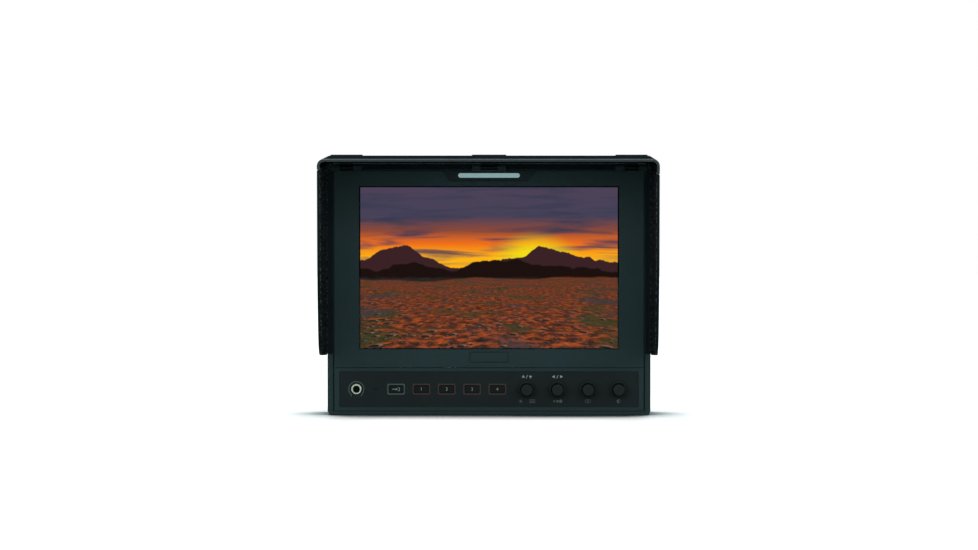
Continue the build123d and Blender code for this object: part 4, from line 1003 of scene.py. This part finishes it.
@dataclass
class SunHood:
    """Cover and wings with their grained lining, hinge pins, hems, felt strips and felt gussets.

    Sizes in millimetres. The hems and gussets keep light out between the hood and the body; the felt strips are dark
    sheets on the frame's face that stand in for the hood's shade there.
    """

    wing_sheets: tuple[str, ...] = ("left_wing", "right_wing")
    wing_liners: tuple[str, ...] = ("left_wing_liner", "right_wing_liner")
    pins: tuple[str, ...] = ("cover_pins", "left_wing_pin", "right_wing_pin")
    wing_inner_x: float = 94.8
    wing_rear_y: float = -20.5
    hem_low_z: float = 36.4
    hem_tops: tuple[tuple[int, Body, float], ...] = ((-1, Body.LEFT_WING, 145.2), (1, Body.RIGHT_WING, 142.7))
    hem_proud: float = 0.42
    hem_half_w: float = 0.8
    hem_sides: int = 16
    # Dark felt strips that stand in for the hood's shade on the frame's face.
    felt_strips: tuple[tuple[str, float, float, float, float], ...] = (
        ("left", -94.6, -91.6, 36.0, 144.4), ("right", 91.6, 94.6, 36.0, 144.4), ("top", -91.5, 91.5, 144.3, 147.2))
    face_y: float = -15.5
    strip_t: float = 0.25
    strip_round: float = 0.1
    corner_x: float = 91.7
    corner_z: float = 144.4
    gusset_y: float = -15.3
    gusset_t: float = 3.2
    gusset_inner_r: float = 3.03
    gusset_outer_r: float = 4.6
    gusset_outer_h: float = 7.3
    gusset_drop: float = 1.9
    gusset_steps: int = 16

    def hem(self, side: int, body: Body, top_z: float) -> None:
        """Makes the soft turned edge of one wing's lining.

        Args:
            side: -1 on the left, 1 on the right.
            body: Wing that it rides on.
            top_z: Height of its upper end.
        """
        mesh = bmesh.new()
        ring = bmesh.ops.create_circle(mesh, cap_ends=True, segments=self.hem_sides, radius=1.0, matrix=(
            Matrix.Translation(Vector((side * self.wing_inner_x, self.wing_rear_y - self.hem_half_w,
                                       self.hem_low_z)) * MM)
            @ Matrix.Diagonal((self.hem_proud * MM, self.hem_half_w * MM, 1.0, 1.0))))
        thicken(mesh, list(ring["verts"][0].link_faces), Vector((0, 0, (top_z - self.hem_low_z) * MM)), keep=False)
        name = f"{body.value}_hem"
        made = seat(name, to_data(name, mesh), LIT_LEATHERCLOTH, body)
        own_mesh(made)

    def felt_strip(self, place: str, low_x: float, high_x: float, low_z: float, high_z: float) -> None:
        """Makes one dark felt strip on the frame's face, behind the hood's rear edge, that stands in for the hood's
        shade there.

        Args:
            place: Side of the face that it is on.
            low_x: Its left edge.
            high_x: Its right edge.
            low_z: Its lower edge.
            high_z: Its upper edge.
        """
        mesh = bmesh.new()
        bmesh.ops.create_cube(mesh, size=1.0, matrix=(
            Matrix.Translation(Vector(((low_x + high_x) / 2, self.face_y - self.strip_t / 2,
                                       (low_z + high_z) / 2)) * MM)
            @ Matrix.Diagonal(((high_x - low_x) * MM, self.strip_t * MM, (high_z - low_z) * MM, 1.0))))
        bmesh.ops.bevel(mesh, geom=mesh.edges, offset=self.strip_round * MM, segments=2, profile=0.5,
                        affect="EDGES", material=-1)
        name = f"{place}_felt_strip"
        seat(name, to_data(name, mesh), FELT, Body.MONITOR)

    def gusset(self, side: int) -> None:
        """Makes the felt that fills one rear corner between the cover and the body.

        Args:
            side: -1 on the left, 1 on the right.
        """
        mesh = bmesh.new()
        corner = Vector((side * self.corner_x, self.gusset_y, self.corner_z)) * MM
        ends = [mesh.verts.new(corner + Vector((side * radius * MM, 0, 0)))
                for radius in (self.gusset_inner_r, self.gusset_outer_r)]
        root = mesh.edges.new(ends)
        bmesh.ops.spin(mesh, geom=[*ends, root], cent=corner, axis=(0, -side, 0), angle=math.pi / 2,
                       steps=self.gusset_steps, use_merge=False)
        between = (self.gusset_inner_r + self.gusset_outer_r) / 2 * MM
        bmesh.ops.scale(mesh, vec=(1, 1, self.gusset_outer_h / self.gusset_outer_r),
                        space=Matrix.Translation(-corner),
                        verts=[v for v in mesh.verts if (v.co - corner).length > between])
        foot = bmesh.ops.extrude_edge_only(mesh, edges=[root])
        bmesh.ops.translate(mesh, vec=(0, 0, -self.gusset_drop * MM),
                            verts=[v for v in foot["geom"] if isinstance(v, bmesh.types.BMVert)])
        thicken(mesh, list(mesh.faces), Vector((0, self.gusset_t * MM, 0)))
        name = "left_felt_gusset" if side < 0 else "right_felt_gusset"
        seat(name, to_data(name, mesh), FELT, Body.COVER)

    def build(self, frame: dict[str, Any]) -> None:
        """Dresses the hood and makes its soft trim."""
        dress(frame, ROLLED_SHEET, "hood_cover")
        dress(frame, HOOD_SHEET, *self.wing_sheets)
        # The wing lining takes the copy of the cloth painted paler as lit, and the cover's lining the copy painted
        # darker as shade.
        dress(frame, LIT_LEATHERCLOTH, *self.wing_liners)
        dress(frame, SHADED_ROOF_CLOTH, "cover_liner")
        dress(frame, BLACK_OXIDE, *self.pins)
        for side, body, top_z in self.hem_tops:
            self.hem(side, body, top_z)
            self.gusset(side)
        # Dark felt strips that stand in for the hood's shade on the frame's face.
        for strip in self.felt_strips:
            self.felt_strip(*strip)


@dataclass
class Studio:
    """Pale floor, soft lights and the camera.

    Sizes in metres. Each softbox has its name, place, width, height and power in watts.
    """

    aim: tuple[float, float, float] = (0.0, -0.0155, 0.0823)
    distance: float = 3.035
    pitch: float = 2.3
    to_right: float = 0.011
    lens_px: float = 5181.0
    frame_px: int = 978
    sensor_mm: float = 36.0
    floor_size: float = 4.0
    tint: str = "#E0FBFF"
    room_glow: float = 0.004
    far: float = 100.0
    softboxes: tuple[tuple[str, tuple[float, float, float], float, float, float], ...] = (
        ("top_softbox", (0.0, 0.1, 2.2), 1.2, 1.8, 60.0),
        ("front_softbox", (0.0, -3.7, 0.85), 5.0, 1.5, 62.0),
        ("left_back_softbox", (-2.4, 1.8, 1.3), 1.5, 1.2, 28.0),
        ("right_back_softbox", (2.4, 1.8, 1.3), 1.5, 1.2, 28.0))

    def camera(self) -> None:
        """Places the camera a little right of the middle, tipped slightly down."""
        data = bpy.data.cameras.new("camera")
        data.sensor_width = self.sensor_mm
        data.lens = self.lens_px / self.frame_px * self.sensor_mm
        data.clip_end = self.far
        made = bpy.data.objects.new("camera", data)
        tip = math.radians(self.pitch)
        back = self.distance * math.cos(tip)
        made.location = Vector(self.aim) + Vector((self.to_right, -back, self.distance * math.sin(tip)))
        made.rotation_euler = (math.pi / 2 - tip, 0, math.atan(self.to_right / back))
        bpy.context.scene.collection.objects.link(made)
        bpy.context.scene.camera = made

    def floor(self) -> None:
        """Lays the floor."""
        mesh = bmesh.new()
        bmesh.ops.create_grid(mesh, x_segments=1, y_segments=1, size=self.floor_size / 2)
        data = to_data("floor", mesh)
        data.materials.append(STUDIO_PAPER.material())
        made = bpy.data.objects.new("floor", data)
        bpy.context.scene.collection.objects.link(made)

    def light(self, name: str, place: tuple[float, float, float], width: float, height: float,
              power: float) -> None:
        """Hangs one soft light that points at the monitor.

        Args:
            name: Name of the light.
            place: Where it hangs.
            width: Width of its face.
            height: Height of its face.
            power: Its power in watts.
        """
        data = bpy.data.lights.new(name, "AREA")
        data.shape, data.size, data.size_y, data.energy = "RECTANGLE", width, height, power
        data.color = linear(self.tint)[:3]
        made = bpy.data.objects.new(name, data)
        made.location = place
        made.rotation_euler = (Vector(self.aim) - Vector(place)).to_track_quat("-Z", "Y").to_euler()
        bpy.context.scene.collection.objects.link(made)

    def surroundings(self) -> None:
        """Sets a white backdrop that the lens sees and a dim room that lights the monitor."""
        world = bpy.data.worlds.new("studio")
        world.use_nodes = True
        bpy.context.scene.world = world
        tree = world.node_tree
        tree.nodes.clear()
        room = add_node(tree, "ShaderNodeBackground", values={
            "Color": linear(self.tint), "Strength": self.room_glow})
        sweep = add_node(tree, "ShaderNodeBackground", values={"Color": WHITE, "Strength": 1.0})
        path = add_node(tree, "ShaderNodeLightPath")
        mix = add_node(tree, "ShaderNodeMixShader", links={
            0: path.outputs["Is Camera Ray"], 1: room.outputs[0], 2: sweep.outputs[0]})
        add_node(tree, "ShaderNodeOutputWorld", links={"Surface": mix.outputs[0]})

    def build(self) -> None:
        """Sets up the studio."""
        self.camera()
        self.floor()
        self.surroundings()
        for softbox in self.softboxes:
            self.light(*softbox)
        bpy.context.scene.view_settings.view_transform = "Standard"


def main() -> None:
    """Loads the frame, dresses it and sets up the studio."""
    logging.basicConfig(level=logging.INFO, format="%(message)s")
    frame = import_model()
    Studio().build()
    for assembly in (Housing(), Screen(), ControlStrip(), Connectors(), SunHood()):
        assembly.build(frame)


if __name__ == "__main__":
    main()
